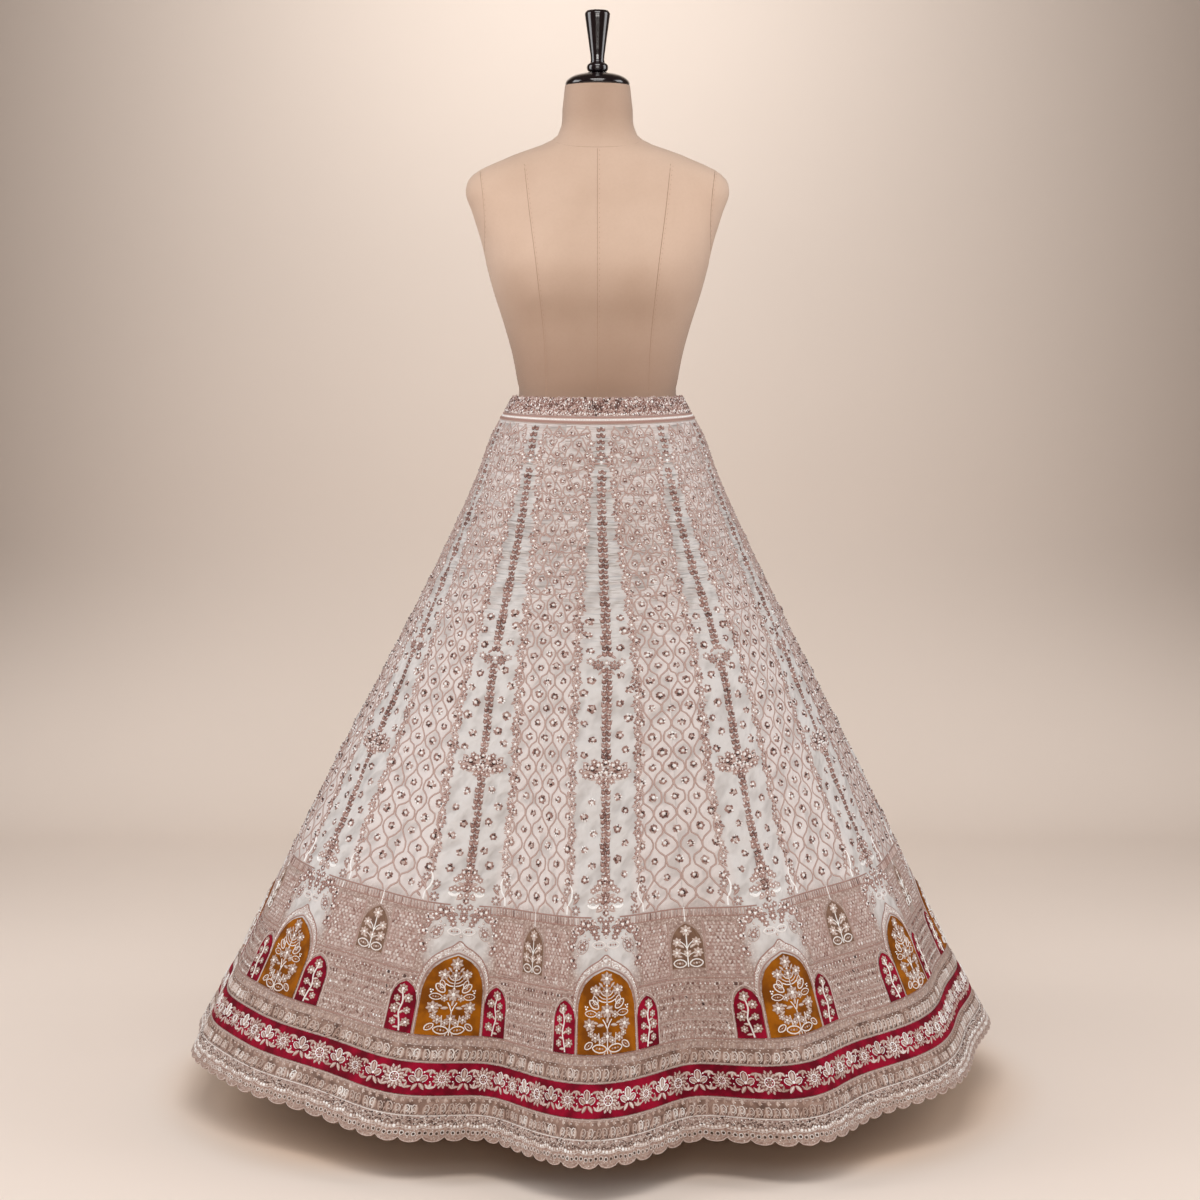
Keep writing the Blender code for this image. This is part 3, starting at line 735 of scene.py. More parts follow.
@dataclass(frozen=True)
class Velvet:
    """Silk velvet with a short nap that shades in soft patches."""
    name: str
    deep: Colour
    bright: Colour

    def make(self) -> bpy.types.Material:
        """Nap is fine noise; the patches are slow noise stretched up and down."""
        bench = Bench(self.name)
        patches = bench.between(bench.noise(bench.place(), 38.0, 3.0), 0.35, 0.68)
        nap = bench.noise(bench.place(), 1900.0, 1.0)
        colour = bench.mix(patches, self.deep, self.bright)
        colour = bench.mix((nap - 0.35) * 0.5, colour, self.deep)
        return bench.dress(Base_Color=colour, Roughness=0.72 + nap * 0.2,
                           Normal=bench.bump(nap, 0.0004, 0.5), Sheen_Weight=0.12,
                           Sheen_Roughness=0.35, Sheen_Tint=self.bright, Specular_IOR_Level=0.15)


@dataclass(frozen=True)
class WornLinen:
    """The form's fitted cover: a close plain weave, pulled smooth, with painted shade below the bust and on
    the neck.
    """
    name: str = "form_linen"
    light: Colour = srgb(216, 188, 167)
    dark: Colour = srgb(190, 158, 134)

    def make(self) -> bpy.types.Material:
        """Weave is crossed waves round and up the form, in metres."""
        bench = Bench(self.name)
        across, down, _ = bench.axes(bench.uv())
        patches = bench.between(bench.noise(bench.place(), 7.0, 4.0), 0.3, 0.75)
        slub = bench.noise(bench.place(), 260.0, 2.0)
        colour = bench.mix(patches * 0.5, self.light, self.dark)
        colour = bench.mix((slub - 0.4) * 0.25, colour, self.dark)
        _, _, z = bench.axes(bench.place())
        # Painted shade: darker from under the bust down to the waist, and again on the neck.
        painted_shade = (1.0 - bench.between(z, 0.98, 1.28)) * 0.78 + bench.between(z, 1.37, 1.45) * 0.42
        colour = bench.mix(painted_shade, colour, srgb(142, 110, 90))
        weave = (across * (TAU / 0.0008)).sine() * (down * (TAU / 0.0008)).sine() * 0.5 + 0.5
        return bench.dress(Base_Color=colour, Roughness=0.78 + slub * 0.12,
                           Normal=bench.bump(weave * 0.6 + slub * 0.4, 0.0003, 0.4), Sheen_Weight=0.15)


@dataclass(frozen=True)
class Lacquer:
    """Polished black lacquer over turned wood, with a faint warm grain and fine handling marks."""
    name: str = "black_gloss"

    def make(self) -> bpy.types.Material:
        """Grain is noise drawn out along Z."""
        bench = Bench(self.name)
        x, y, z = bench.axes(bench.place())
        drawn = bench.signal("ShaderNodeCombineXYZ", inputs={0: x * 60.0, 1: y * 60.0, 2: z * 4.0})
        grain = bench.noise(drawn, 3.0, 3.0)
        marks = bench.noise(bench.place(), 160.0, 2.0)
        colour = bench.mix(grain, srgb(14, 9, 11), srgb(34, 22, 26))
        return bench.dress(Base_Color=colour, Roughness=0.1 + marks * 0.1, Coat_Weight=0.8,
                           Coat_Roughness=0.05, Specular_IOR_Level=0.5)


@dataclass(frozen=True)
class StandPaint:
    """Satin powder coat on the stand's metal, with an orange-peel skin and dust on top."""
    name: str = "stand_satin"

    def make(self) -> bpy.types.Material:
        """Orange peel is fine noise; dust is slow noise that lightens and dulls."""
        bench = Bench(self.name)
        peel = bench.noise(bench.place(), 700.0, 2.0)
        dust = bench.between(bench.noise(bench.place(), 14.0, 4.0), 0.45, 0.8)
        return bench.dress(Base_Color=bench.mix(dust * 0.35, srgb(30, 28, 28), srgb(92, 86, 80)),
                           Roughness=0.38 + dust * 0.25, Normal=bench.bump(peel, 0.0003, 0.3))


@dataclass(frozen=True)
class Plaster:
    """The studio's painted sweep, slightly uneven, with painted shade up the wall that deepens out to its
    sides, and painted warm shade on the floor under the hem.
    """
    name: str
    colour: Colour
    # The wall's colour, darker than the floor's: painted shade.
    wall: Colour

    def make(self) -> bpy.types.Material:
        """Slow noise a few per cent lighter and darker; the darker wall colour, painted shade, comes in with
        height and most towards the sides.
        """
        bench = Bench(self.name)
        cloudy = bench.noise(bench.place(), 0.9, 3.0)
        shade = tuple(channel * 0.93 for channel in self.colour)
        x, y, z = bench.axes(bench.place())
        # Painted shade: a warm, darker patch on the floor round the hem's sides, where the skirt shades it.
        near = (1.0 - bench.between(x * x + y * y, 0.26, 0.46)) * bench.between(y, -0.56, -0.4)
        # Painted shade: the wall colour grows with height and with distance to the sides.
        sides = (x * x * 0.42).least(1.0)
        up = bench.between(z, 0.02, 0.65) * (0.22 + sides * 0.78)
        colour = bench.mix(up, bench.mix(cloudy, shade, self.colour), self.wall)
        # Painted warm shade under the skirt's hem.
        colour = bench.mix(near * (1.0 - up) * 0.75, colour, srgb(226, 190, 158))
        return bench.dress(Base_Color=colour, Roughness=0.9, Specular_IOR_Level=0.2)


ROSE_STOPS = (
    (0.0, srgb(60, 34, 28)), (0.16, srgb(112, 74, 65)), (0.34, srgb(156, 118, 107)),
    (0.55, srgb(188, 162, 153)), (0.76, srgb(220, 208, 203)), (1.0, srgb(254, 253, 252)),
)
CREAM_STOPS = (
    (0.0, srgb(56, 34, 26)), (0.18, srgb(108, 79, 66)), (0.38, srgb(150, 120, 106)),
    (0.6, srgb(186, 162, 150)), (0.8, srgb(217, 204, 197)), (1.0, srgb(253, 252, 250)),
)
BRONZE_STOPS = (
    (0.0, srgb(70, 42, 29)), (0.4, srgb(112, 79, 58)), (0.7, srgb(140, 108, 86)), (1.0, srgb(178, 148, 126)),
)
ROSE_WORK = Needlework("rose_needlework", ROSE_STOPS)
BRONZE_WORK = Needlework("bronze_needlework", BRONZE_STOPS, 0.0011)
CREAM_WORK = Needlework("cream_needlework", CREAM_STOPS)


# ================================================================ needlework

def rows_of(x: Number, y: Number, turn: Number = 0.0, size: Number = 1.0, flip: Number = 1.0) -> Array:
    """The (k, 5) places of copies, as `Work` takes them, from columns or single values."""
    return np.column_stack(np.broadcast_arrays(x, y, turn, size, flip))


@dataclass
class Work:
    """Needlework on flat cloth: x to the right, y up, h out; or laid out as (u, v, h) once placed."""
    points: Array
    faces: Faces
    tint: Array
    shine: Array
    run: Array

    @staticmethod
    def joined(works: Iterable["Work"]) -> "Work":
        """Several pieces of needlework as one."""
        several = list(works)
        starts = np.concatenate([[0], np.cumsum([len(work.points) for work in several])[:-1]])
        return Work(
            np.concatenate([work.points for work in several]),
            np.concatenate([work.faces + start for work, start in zip(several, starts)]),
            np.concatenate([work.tint for work in several]),
            np.concatenate([work.shine for work in several]),
            np.concatenate([work.run for work in several]))

    def at(self, points: Array) -> "Work":
        """The same needlework at other points."""
        return Work(points, self.faces, self.tint, self.shine, self.run)

    def moved(self, x: float = 0.0, y: float = 0.0, turn: float = 0.0, size: float = 1.0,
              flip: bool = False, rise: float = 0.0) -> "Work":
        """Flip left to right, turn (radians, to the left), scale and then move."""
        px, py, ph = self.points.T
        px = -px if flip else px
        cosine, sine = math.cos(turn), math.sin(turn)
        points = np.stack([x + size * (px * cosine - py * sine), y + size * (px * sine + py * cosine),
                           rise + size * ph], axis=-1)
        faces = self.faces[:, ::-1] if flip else self.faces
        return Work(points, faces, self.tint, self.shine, self.run * size)

    def tilted(self, slope_x: float, slope_y: float) -> "Work":
        """Tip the piece: h grows with x and y, and nothing sinks below where it was lowest."""
        points = self.points.copy()
        tip = slope_x * points[:, 0] + slope_y * points[:, 1]
        points[:, 2] += tip - tip.min()
        return self.at(points)

    def spread(self, places: Array, stray: float = 0.0) -> "Work":
        """Copies on flat cloth.

        Args:
            places: (k, 5) rows of x, y, turn in radians, size and flip (1 or -1).
            stray: how far a copy's colour strays from the others'.
        Returns:
            (x0, y0) + size * turn(flip * x, y) for every copy.
        """
        rows = np.asarray(places, float).reshape(-1, 5)
        x0, y0, turn, size, flip = (column[:, None] for column in rows.T)
        x, y, h = self.points.T
        x = x * flip
        points = np.stack([x0 + size * (x * np.cos(turn) - y * np.sin(turn)),
                           y0 + size * (x * np.sin(turn) + y * np.cos(turn)), size * h], axis=-1)
        count, each = len(rows), len(self.points)
        faces = np.where(flip[..., None] < 0, self.faces[:, ::-1], self.faces)
        faces = (faces + (np.arange(count) * each)[:, None, None]).reshape(-1, 3)
        astray = np.repeat(RANDOM.normal(0, stray, count), each) if stray else 0.0
        return Work(points.reshape(-1, 3), faces, np.tile(self.tint, count) + astray,
                    np.tile(self.shine, count), np.tile(self.run, (count, 1)))

    def laid(self, places: Array, stray: float = 0.0) -> "Work":
        """Copies of flat needlework on the cloth.

        Args:
            places: (k, 5) rows of u, v, turn in radians, size and flip (1 or -1).
            stray: how far a copy's colour strays from the others'.
        Returns:
            The copies as (u, v, h): a kali's mean width turns x into u, and the slant turns y into v.
        """
        rows = np.asarray(places, float).reshape(-1, 5)
        each = len(self.points)
        flat = self.spread(np.column_stack([np.zeros((len(rows), 2)), rows[:, 2:]]), stray)
        x, y, h = flat.points.T
        v = np.repeat(rows[:, 1], each) - y / SLANT
        return flat.at(np.stack([np.repeat(rows[:, 0], each) + x / DRAPE.width(v), v, h], axis=-1))


def arranged(*rows: Union[Work, tuple], mirror: bool = False) -> Work:
    """The parts of a motif, set out and joined.

    Args:
        rows: a part that stays where it is, or (part, x, y, turn, size) with x and y in millimetres
            and turn in radians; turn and size may be left out.
        mirror: whether the same parts follow again on the left.
    Returns:
        The motif.
    """
    parts = [row if isinstance(row, Work) else row[0].moved(0.001 * row[1], 0.001 * row[2], *row[3:])
             for row in rows]
    return Work.joined([*parts, *(part.moved(flip=True) for part in parts)] if mirror else parts)


def cord(path: Array, width: Number, height: float, tint: float = 0.4, crest: float = 0.12,
         shine: float = 0.0, closed: bool = False) -> Work:
    """A raised thread: two low edges and a crest carried along a path.

    point(i, side) = path(i) + side * width / 2 * the path's left-hand normal, and h = height at
    side 0, otherwise 0.

    Args:
        path: (n, 2) or (n, 3) points; a third column lifts the thread.
        width, height: its size in metres; width may vary along the path.
        tint, crest: colour at the edges, and how much lighter the crest is: a painted highlight along the
            thread's top.
        shine: how metallic it is.
        closed: whether the path is a loop.
    Returns:
        The thread.
    """
    flat = path[:, :2]
    if closed:
        tangent = unit(np.roll(flat, -1, axis=0) - np.roll(flat, 1, axis=0))
    else:
        tangent = unit(np.gradient(flat, axis=0))
    normal = np.stack([-tangent[:, 1], tangent[:, 0]], axis=-1)
    half = np.broadcast_to(np.asarray(width, float) / 2, len(path))[:, None]
    lift = path[:, 2] if path.shape[1] > 2 else np.zeros(len(path))
    side = np.array([-1.0, 0.0, 1.0])
    places = flat[:, None] + side[None, :, None] * half[:, None] * normal[:, None]
    full = np.broadcast_to(np.asarray(width, float), len(path)) / max(float(np.max(width)), 1e-9)
    rise = lift[:, None] + height * full[:, None] * np.array([0.0, 1.0, 0.0])
    points = np.concatenate([places, rise[..., None]], axis=-1).reshape(-1, 3)
    count = len(path)
    here = np.arange(count if closed else count - 1)
    there = (here + 1) % count
    faces = []
    for right in (0, 1):
        a, b, c, d = here * 3 + right, there * 3 + right, there * 3 + right + 1, here * 3 + right + 1
        faces += [np.stack([a, b, c], axis=-1), np.stack([a, c, d], axis=-1)]
    steps = np.linalg.norm(np.diff(flat, axis=0), axis=-1)
    along = np.concatenate([[0], np.cumsum(steps)])
    run = np.stack([np.repeat(along, 3), np.tile(side * 0.5, count)], axis=-1)
    # The lighter crest is a painted highlight along the raised thread.
    tints = np.tile(np.array([tint, tint + crest, tint]), count)
    return Work(points, np.concatenate(faces), tints, np.full(count * 3, shine), run)


def bead(radius: float, height: float, sides: int = 6, rings: int = 1, tint: float = 0.8,
         shine: float = 0.0, rim_tint: float | None = None) -> Work:
    """A domed bead or sequin: h = height * cos of the way out to its rim.

    Args:
        radius, height: its size.
        sides, rings: how many points round it and how many rings.
        tint, rim_tint: colour at its top and at its rim.
        shine: how metallic it is.
    Returns:
        The dome, open underneath.
    """
    angle = (np.arange(sides) + 0.5) * TAU / sides
    share = np.arange(1, rings + 1) / rings
    ring = np.stack([np.outer(share, np.cos(angle)) * radius, np.outer(share, np.sin(angle)) * radius,
                     np.outer(np.cos(share * math.pi / 2) * height, np.ones(sides))], axis=-1)
    points = np.concatenate([[[0, 0, height]], ring.reshape(-1, 3)])
    column = np.arange(sides)
    beside = (column + 1) % sides
    faces = [np.stack([np.zeros(sides, int), 1 + column, 1 + beside], axis=-1)]
    for level in range(rings - 1):
        a, b = 1 + level * sides + column, 1 + level * sides + beside
        faces += [np.stack([a, a + sides, b + sides], axis=-1), np.stack([a, b + sides, b], axis=-1)]
    # The tint runs from the top to the rim: a darker rim is painted shade on the dome's sides.
    rim = tint if rim_tint is None else rim_tint
    tints = np.concatenate([[tint], np.repeat(tint + (rim - tint) * share, sides)])
    return Work(points, np.concatenate(faces), tints, np.full(len(points), shine), points[:, :2].copy())


def leaf(length: float, width: float, height: float, steps: int = 3, bend: float = 0.0,
         tint: float = 0.3, crest: float = 0.2, shine: float = 0.0) -> Work:
    """A satin-stitch leaf from the origin along +y: width * sin(pi t) ** 0.7 along a bent line.

    Args:
        length, width, height: its size.
        steps: segments along it.
        bend: how far its tip is carried to the right, as a share of its length.
        tint, crest, shine: as for a cord.
    Returns:
        The leaf.
    """
    t = np.linspace(0, 1, steps + 1)
    path = np.stack([bend * length * t**2, length * t], axis=-1)
    widths = width * np.maximum(np.sin(math.pi * np.clip(t * 0.9 + 0.06, 0, 1)) ** 0.7, 0.12)
    return cord(path, widths, height, tint, crest, shine)


def eye_leaf(length: float, width: float, thread: float, tint: float = 0.95, inside: float = 0.35) -> Work:
    """An eye-shaped leaf along +y, outlined in pale thread, with a darker bead row down its middle."""
    t = np.arange(12) / 12
    outline = np.stack([width / 2 * np.sign(np.sin(TAU * t)) * np.abs(np.sin(TAU * t)) ** 1.25,
                        length / 2 * (1 - np.cos(TAU * t))], axis=-1)
    rim = cord(outline[::-1], thread, thread * 0.55, tint, 0.05, closed=True)
    heart = [bead(width * 0.15, thread * 0.5, 5, tint=inside + 0.25 * (k == 1), shine=0.5)
             .moved(0, length * (0.3 + 0.2 * k)) for k in range(3)]
    return Work.joined([rim, *heart])


def rosette(petals: int, reach: float, width: float, height: float, heart: float,
            tint: float = 0.35, heart_tint: float = 0.9, steps: int = 2, inner: float = 0.35,
            heart_shine: float = 0.2, crest: float = 0.44) -> Work:
    """A small flower: petals round a domed centre.

    Args:
        petals: how many.
        reach: from the middle to a petal's tip.
        width, height: of a petal.
        heart: radius of the centre.
        tint, heart_tint: colours.
        steps: segments along a petal.
        inner: where a petal starts, as a share of the reach.
        heart_shine: how metallic the centre is.
        crest: how much lighter the middle of a petal is than its edges, a painted highlight.
    Returns:
        The flower.
    """
    petal = leaf(reach * (1 - inner), width, height, steps, tint=tint, crest=crest).moved(0, reach * inner)
    parts = [petal.moved(turn=k * TAU / petals) for k in range(petals)]
    return Work.joined([*parts, bead(heart, height * 1.3, 6, tint=heart_tint, shine=heart_shine)])


def arc(radius_x: float, radius_y: float, start: float, stop: float, count: int) -> Array:
    """Points on an ellipse from one angle (degrees, from +x to the left) to another."""
    angle = np.radians(np.linspace(start, stop, count))
    return np.stack([radius_x * np.cos(angle), radius_y * np.sin(angle)], axis=-1)


class Layers(Enum):
    """How far out of the skirt's cloth a kind of needlework starts."""
    ON_CLOTH = 0.0001
    ON_WORK = 0.0006
    ON_PATCH = ON_APPLIQUE + 0.0001


@dataclass
class Basket:
    """Needlework gathered for one piece, then laid on the cloth as one mesh."""
    name: str
    finish: bpy.types.Material
    slot: str = "rose_beadwork"
    works: list[Work] = field(default_factory=list)

    def add(self, work: Work, layer: Layers = Layers.ON_CLOTH) -> None:
        """Add work that is already laid out as (u, v, h)."""
        points = work.points.copy()
        points[:, 2] += layer.value
        self.works.append(work.at(points))

    def put_on(self) -> bpy.types.Object:
        """Lay everything on the cloth and ride it on the root."""
        work = Work.joined(self.works)
        return stitched(self.name, DRAPE.place(*work.points.T), work, self.finish)


def filled(basket: Basket, *steps: Callable[[Basket], None]) -> None:
    """Let each step add its needlework to the basket, then put it on."""
    for step in steps:
        step(basket)
    basket.put_on()


def stitched(name: str, points: Array, work: Work, finish: bpy.types.Material) -> bpy.types.Object:
    """A needlework piece from finished points, with its tint, shine and thread run."""
    made = new_object(name, points, work.faces, finish)
    add_attribute(made, "tint", work.tint)
    add_attribute(made, "shine", work.shine)
    add_uv(made, work.run)
    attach(made, ROOT)
    LOG.info("%s: %d triangles", name, len(work.faces))
    return made


def curve(points: Sequence[tuple[float, float]], count: int) -> Array:
    """A smooth line through points: a cubic Hermite curve over the chord's length."""
    known = np.asarray(points, float)
    chord = np.concatenate([[0], np.cumsum(np.linalg.norm(np.diff(known, axis=0), axis=1))])
    at = np.linspace(0, chord[-1], count)
    return np.stack([smooth(at, chord, known[:, 0]), smooth(at, chord, known[:, 1])], axis=-1)


def mirrored(points: Sequence[tuple[float, float]]) -> list[tuple[float, float]]:
    """A right-hand half, foot to apex, followed by its left-hand mirror back to the foot."""
    half = list(points)
    return half + [(-x, y) for x, y in half[-2::-1]]


def round_kalis(u: float = 0.0, v: float = 0.0, turn: float = 0.0, size: float = 1.0,
                both: bool = False) -> Array:
    """Places at the same spot of every kali, or mirrored to both sides of its centre line."""
    kalis = np.arange(KALIS)
    right = [(kali + u, v, turn, size, 1) for kali in kalis]
    left = [(kali - u, v, -turn, size, -1) for kali in kalis]
    return np.array(right + left if both else right, float)


# ================================================================ the studio

@dataclass
class Studio:
    """A pale sweep, soft lights and a level camera whose frame is shifted down."""
    camera_place: tuple[float, float, float] = (0.0, -3.97, 1.058)
    frame_px: float = 1200.0
    focal_px: float = 2650.0
    horizon_px: float = 370.0
    middle_px: float = 597.5
    sensor_mm: float = 36.0
    front_y: float = -7.0
    wall_y: float = 2.75
    sweep_radius: float = 0.75
    half_width: float = 2.2
    height: float = 6.0

    def build(self) -> None:
        """Set the camera, the sweep and the lights."""
        self._camera()
        self._sweep()
        self._lights()
        LOG.info("studio: camera, sweep and lights")

    def _camera(self) -> None:
        """A level camera: the horizon's height in the frame comes from the shift alone."""
        lens = bpy.data.cameras.new("camera")
        lens.sensor_width = self.sensor_mm
        lens.lens = self.focal_px / self.frame_px * self.sensor_mm
        lens.shift_x = (self.frame_px / 2 - self.middle_px) / self.frame_px
        lens.shift_y = (self.horizon_px - self.frame_px / 2) / self.frame_px
        camera = bpy.data.objects.new("camera", lens)
        camera.location = self.camera_place
        camera.rotation_euler = (math.radians(90), 0, 0)
        bpy.context.scene.collection.objects.link(camera)
        bpy.context.scene.camera = camera

    def _sweep(self) -> None:
        """Floor, quarter round and wall as one profile (y, z) drawn out along X."""
        radius = self.sweep_radius
        angle = np.linspace(0, math.pi / 2, 24)
        round_y = self.wall_y - radius + radius * np.sin(angle)
        round_z = radius - radius * np.cos(angle)
        profile_y = np.concatenate([np.linspace(self.front_y, self.wall_y - radius, 30)[:-1], round_y,
                                    np.full(10, self.wall_y)])
        profile_z = np.concatenate([np.zeros(29), round_z, np.linspace(radius, self.height, 11)[1:]])
        across = np.linspace(-self.half_width, self.half_width, 30)
        x, y = np.meshgrid(across, profile_y[::-1])
        z = np.broadcast_to(profile_z[::-1, None], x.shape)
        finish = Plaster("studio_sweep", srgb(246, 233, 222), srgb(188, 175, 165)).make()
        sweep = new_object("studio_sweep", np.stack([x, y, z], axis=-1).reshape(-1, 3),
                           grid_quads(*x.shape), finish)

    def _lights(self) -> None:
        """A soft box on each side, one overhead, one on the wall, and a dim warm world."""
        self._soft_box("side_left", (-2.4, -0.3, 1.7), (0, -0.3, 0.8), 1.3, 2.4, 36, srgb(250, 250, 252))
        self._soft_box("side_right", (2.4, -0.2, 1.7), (0, -0.3, 0.8), 1.3, 2.4, 32, srgb(250, 250, 252))
        self._soft_box("front_high", (0.1, -4.4, 2.4), (0, -0.8, 0.35), 2.6, 1.3, 26, srgb(251, 251, 252))
        self._soft_box("overhead", (0, -2.3, 4.0), (0, -1.1, 0), 2.4, 1.6, 76, srgb(253, 250, 248))
        self._soft_box("wall", (-0.12, 1.4, 2.6), (-0.12, 2.75, 1.45), 0.9, 0.6, 16, srgb(253, 251, 249))
        self._soft_box("floor_fill", (0, -4.9, 1.25), (0, -1.0, 0.05), 3.0, 0.6, 46, srgb(254, 250, 246))
        world = bpy.data.worlds.new("studio_air")
        world.use_nodes = True
        air = world.node_tree.nodes["Background"]
        air.inputs["Color"].default_value = (*srgb(240, 212, 184), 1.0)
        air.inputs["Strength"].default_value = 0.09
        bpy.context.scene.world = world
        bpy.context.scene.view_settings.view_transform = "Standard"

    @staticmethod
    def _soft_box(name: str, place: tuple[float, float, float], aim: tuple[float, float, float],
                  wide: float, high: float, power: float, colour: Colour) -> None:
        """A rectangular area light that faces a point."""
        light = bpy.data.lights.new(name, "AREA")
        light.shape, light.size, light.size_y = "RECTANGLE", wide, high
        light.energy, light.color = power, colour
        box = bpy.data.objects.new(name, light)
        box.location = place
        box.rotation_euler = (Vector(aim) - Vector(place)).to_track_quat("-Z", "Y").to_euler()
        bpy.context.scene.collection.objects.link(box)


# ================================================================ the dress form

class BodySection(NamedTuple):
    """A level of the form: height, half width, reach to front and back, and squareness (2 is an ellipse)."""
    z: float
    half_width: float
    front: float
    back: float
    squareness: float


FORM_SECTIONS = tuple(BodySection(*row) for row in (
    (0.64, 0.158, 0.098, 0.104, 2.2), (0.648, 0.164, 0.103, 0.111, 2.2), (0.7, 0.172, 0.108, 0.12, 2.2),
    (0.78, 0.176, 0.111, 0.127, 2.2), (0.85, 0.1715, 0.113, 0.127, 2.1), (0.91, 0.162, 0.116, 0.124, 2.0),
    (0.945, 0.155, 0.1195, 0.1225, 2.0), (0.966, 0.149, 0.119, 0.1219, 2.0),
    (0.9905, 0.1375, 0.1103, 0.1125, 2.0), (1.003, 0.127, 0.1, 0.1, 2.0),
    (1.021, 0.1172, 0.0915, 0.0885, 2.0), (1.045, 0.1203, 0.0935, 0.089, 2.0),
    (1.079, 0.1266, 0.098, 0.0925, 2.1), (1.128, 0.14, 0.107, 0.101, 2.1),
    (1.175, 0.155, 0.127, 0.109, 2.2), (1.208, 0.164, 0.133, 0.113, 2.2), (1.25, 0.174, 0.124, 0.115, 2.2),
    (1.292, 0.187, 0.105, 0.111, 2.3), (1.328, 0.197, 0.088, 0.099, 2.4), (1.346, 0.19, 0.08, 0.09, 2.4),
    (1.358, 0.174, 0.075, 0.084, 2.4), (1.371, 0.145, 0.069, 0.077, 2.3), (1.383, 0.117, 0.063, 0.07, 2.2),
    (1.394, 0.085, 0.058, 0.064, 2.0), (1.405, 0.064, 0.055, 0.06, 2.0), (1.42, 0.0555, 0.053, 0.0565, 2.0),
    (1.45, 0.0525, 0.0515, 0.0535, 2.0), (1.4835, 0.0487, 0.0487, 0.05, 2.0)))
CAP_CURVE = (
    (0.0452, 1.4838), (0.0474, 1.4843), (0.0482, 1.4858), (0.0481, 1.4875), (0.0472, 1.4898),
    (0.045, 1.4926), (0.0412, 1.4958), (0.036, 1.4985), (0.029, 1.5008), (0.02, 1.5024),
    (0.0095, 1.5032),
)
FINIAL_CURVE = (
    (0.0082, 1.503), (0.0084, 1.5036), (0.0115, 1.5041), (0.0138, 1.5052), (0.0154, 1.5074),
    (0.016, 1.5104), (0.0156, 1.5136), (0.0142, 1.516), (0.0122, 1.5174), (0.0108, 1.5184),
    (0.0106, 1.5192), (0.0109, 1.5198), (0.0103, 1.5208), (0.0103, 1.525), (0.012, 1.539),
    (0.0145, 1.558), (0.0172, 1.577), (0.0187, 1.588), (0.019, 1.5908), (0.0187, 1.5926),
    (0.018, 1.5938), (0.0174, 1.5946), (0.0166, 1.5958), (0.014, 1.5966), (0.008, 1.597),
)


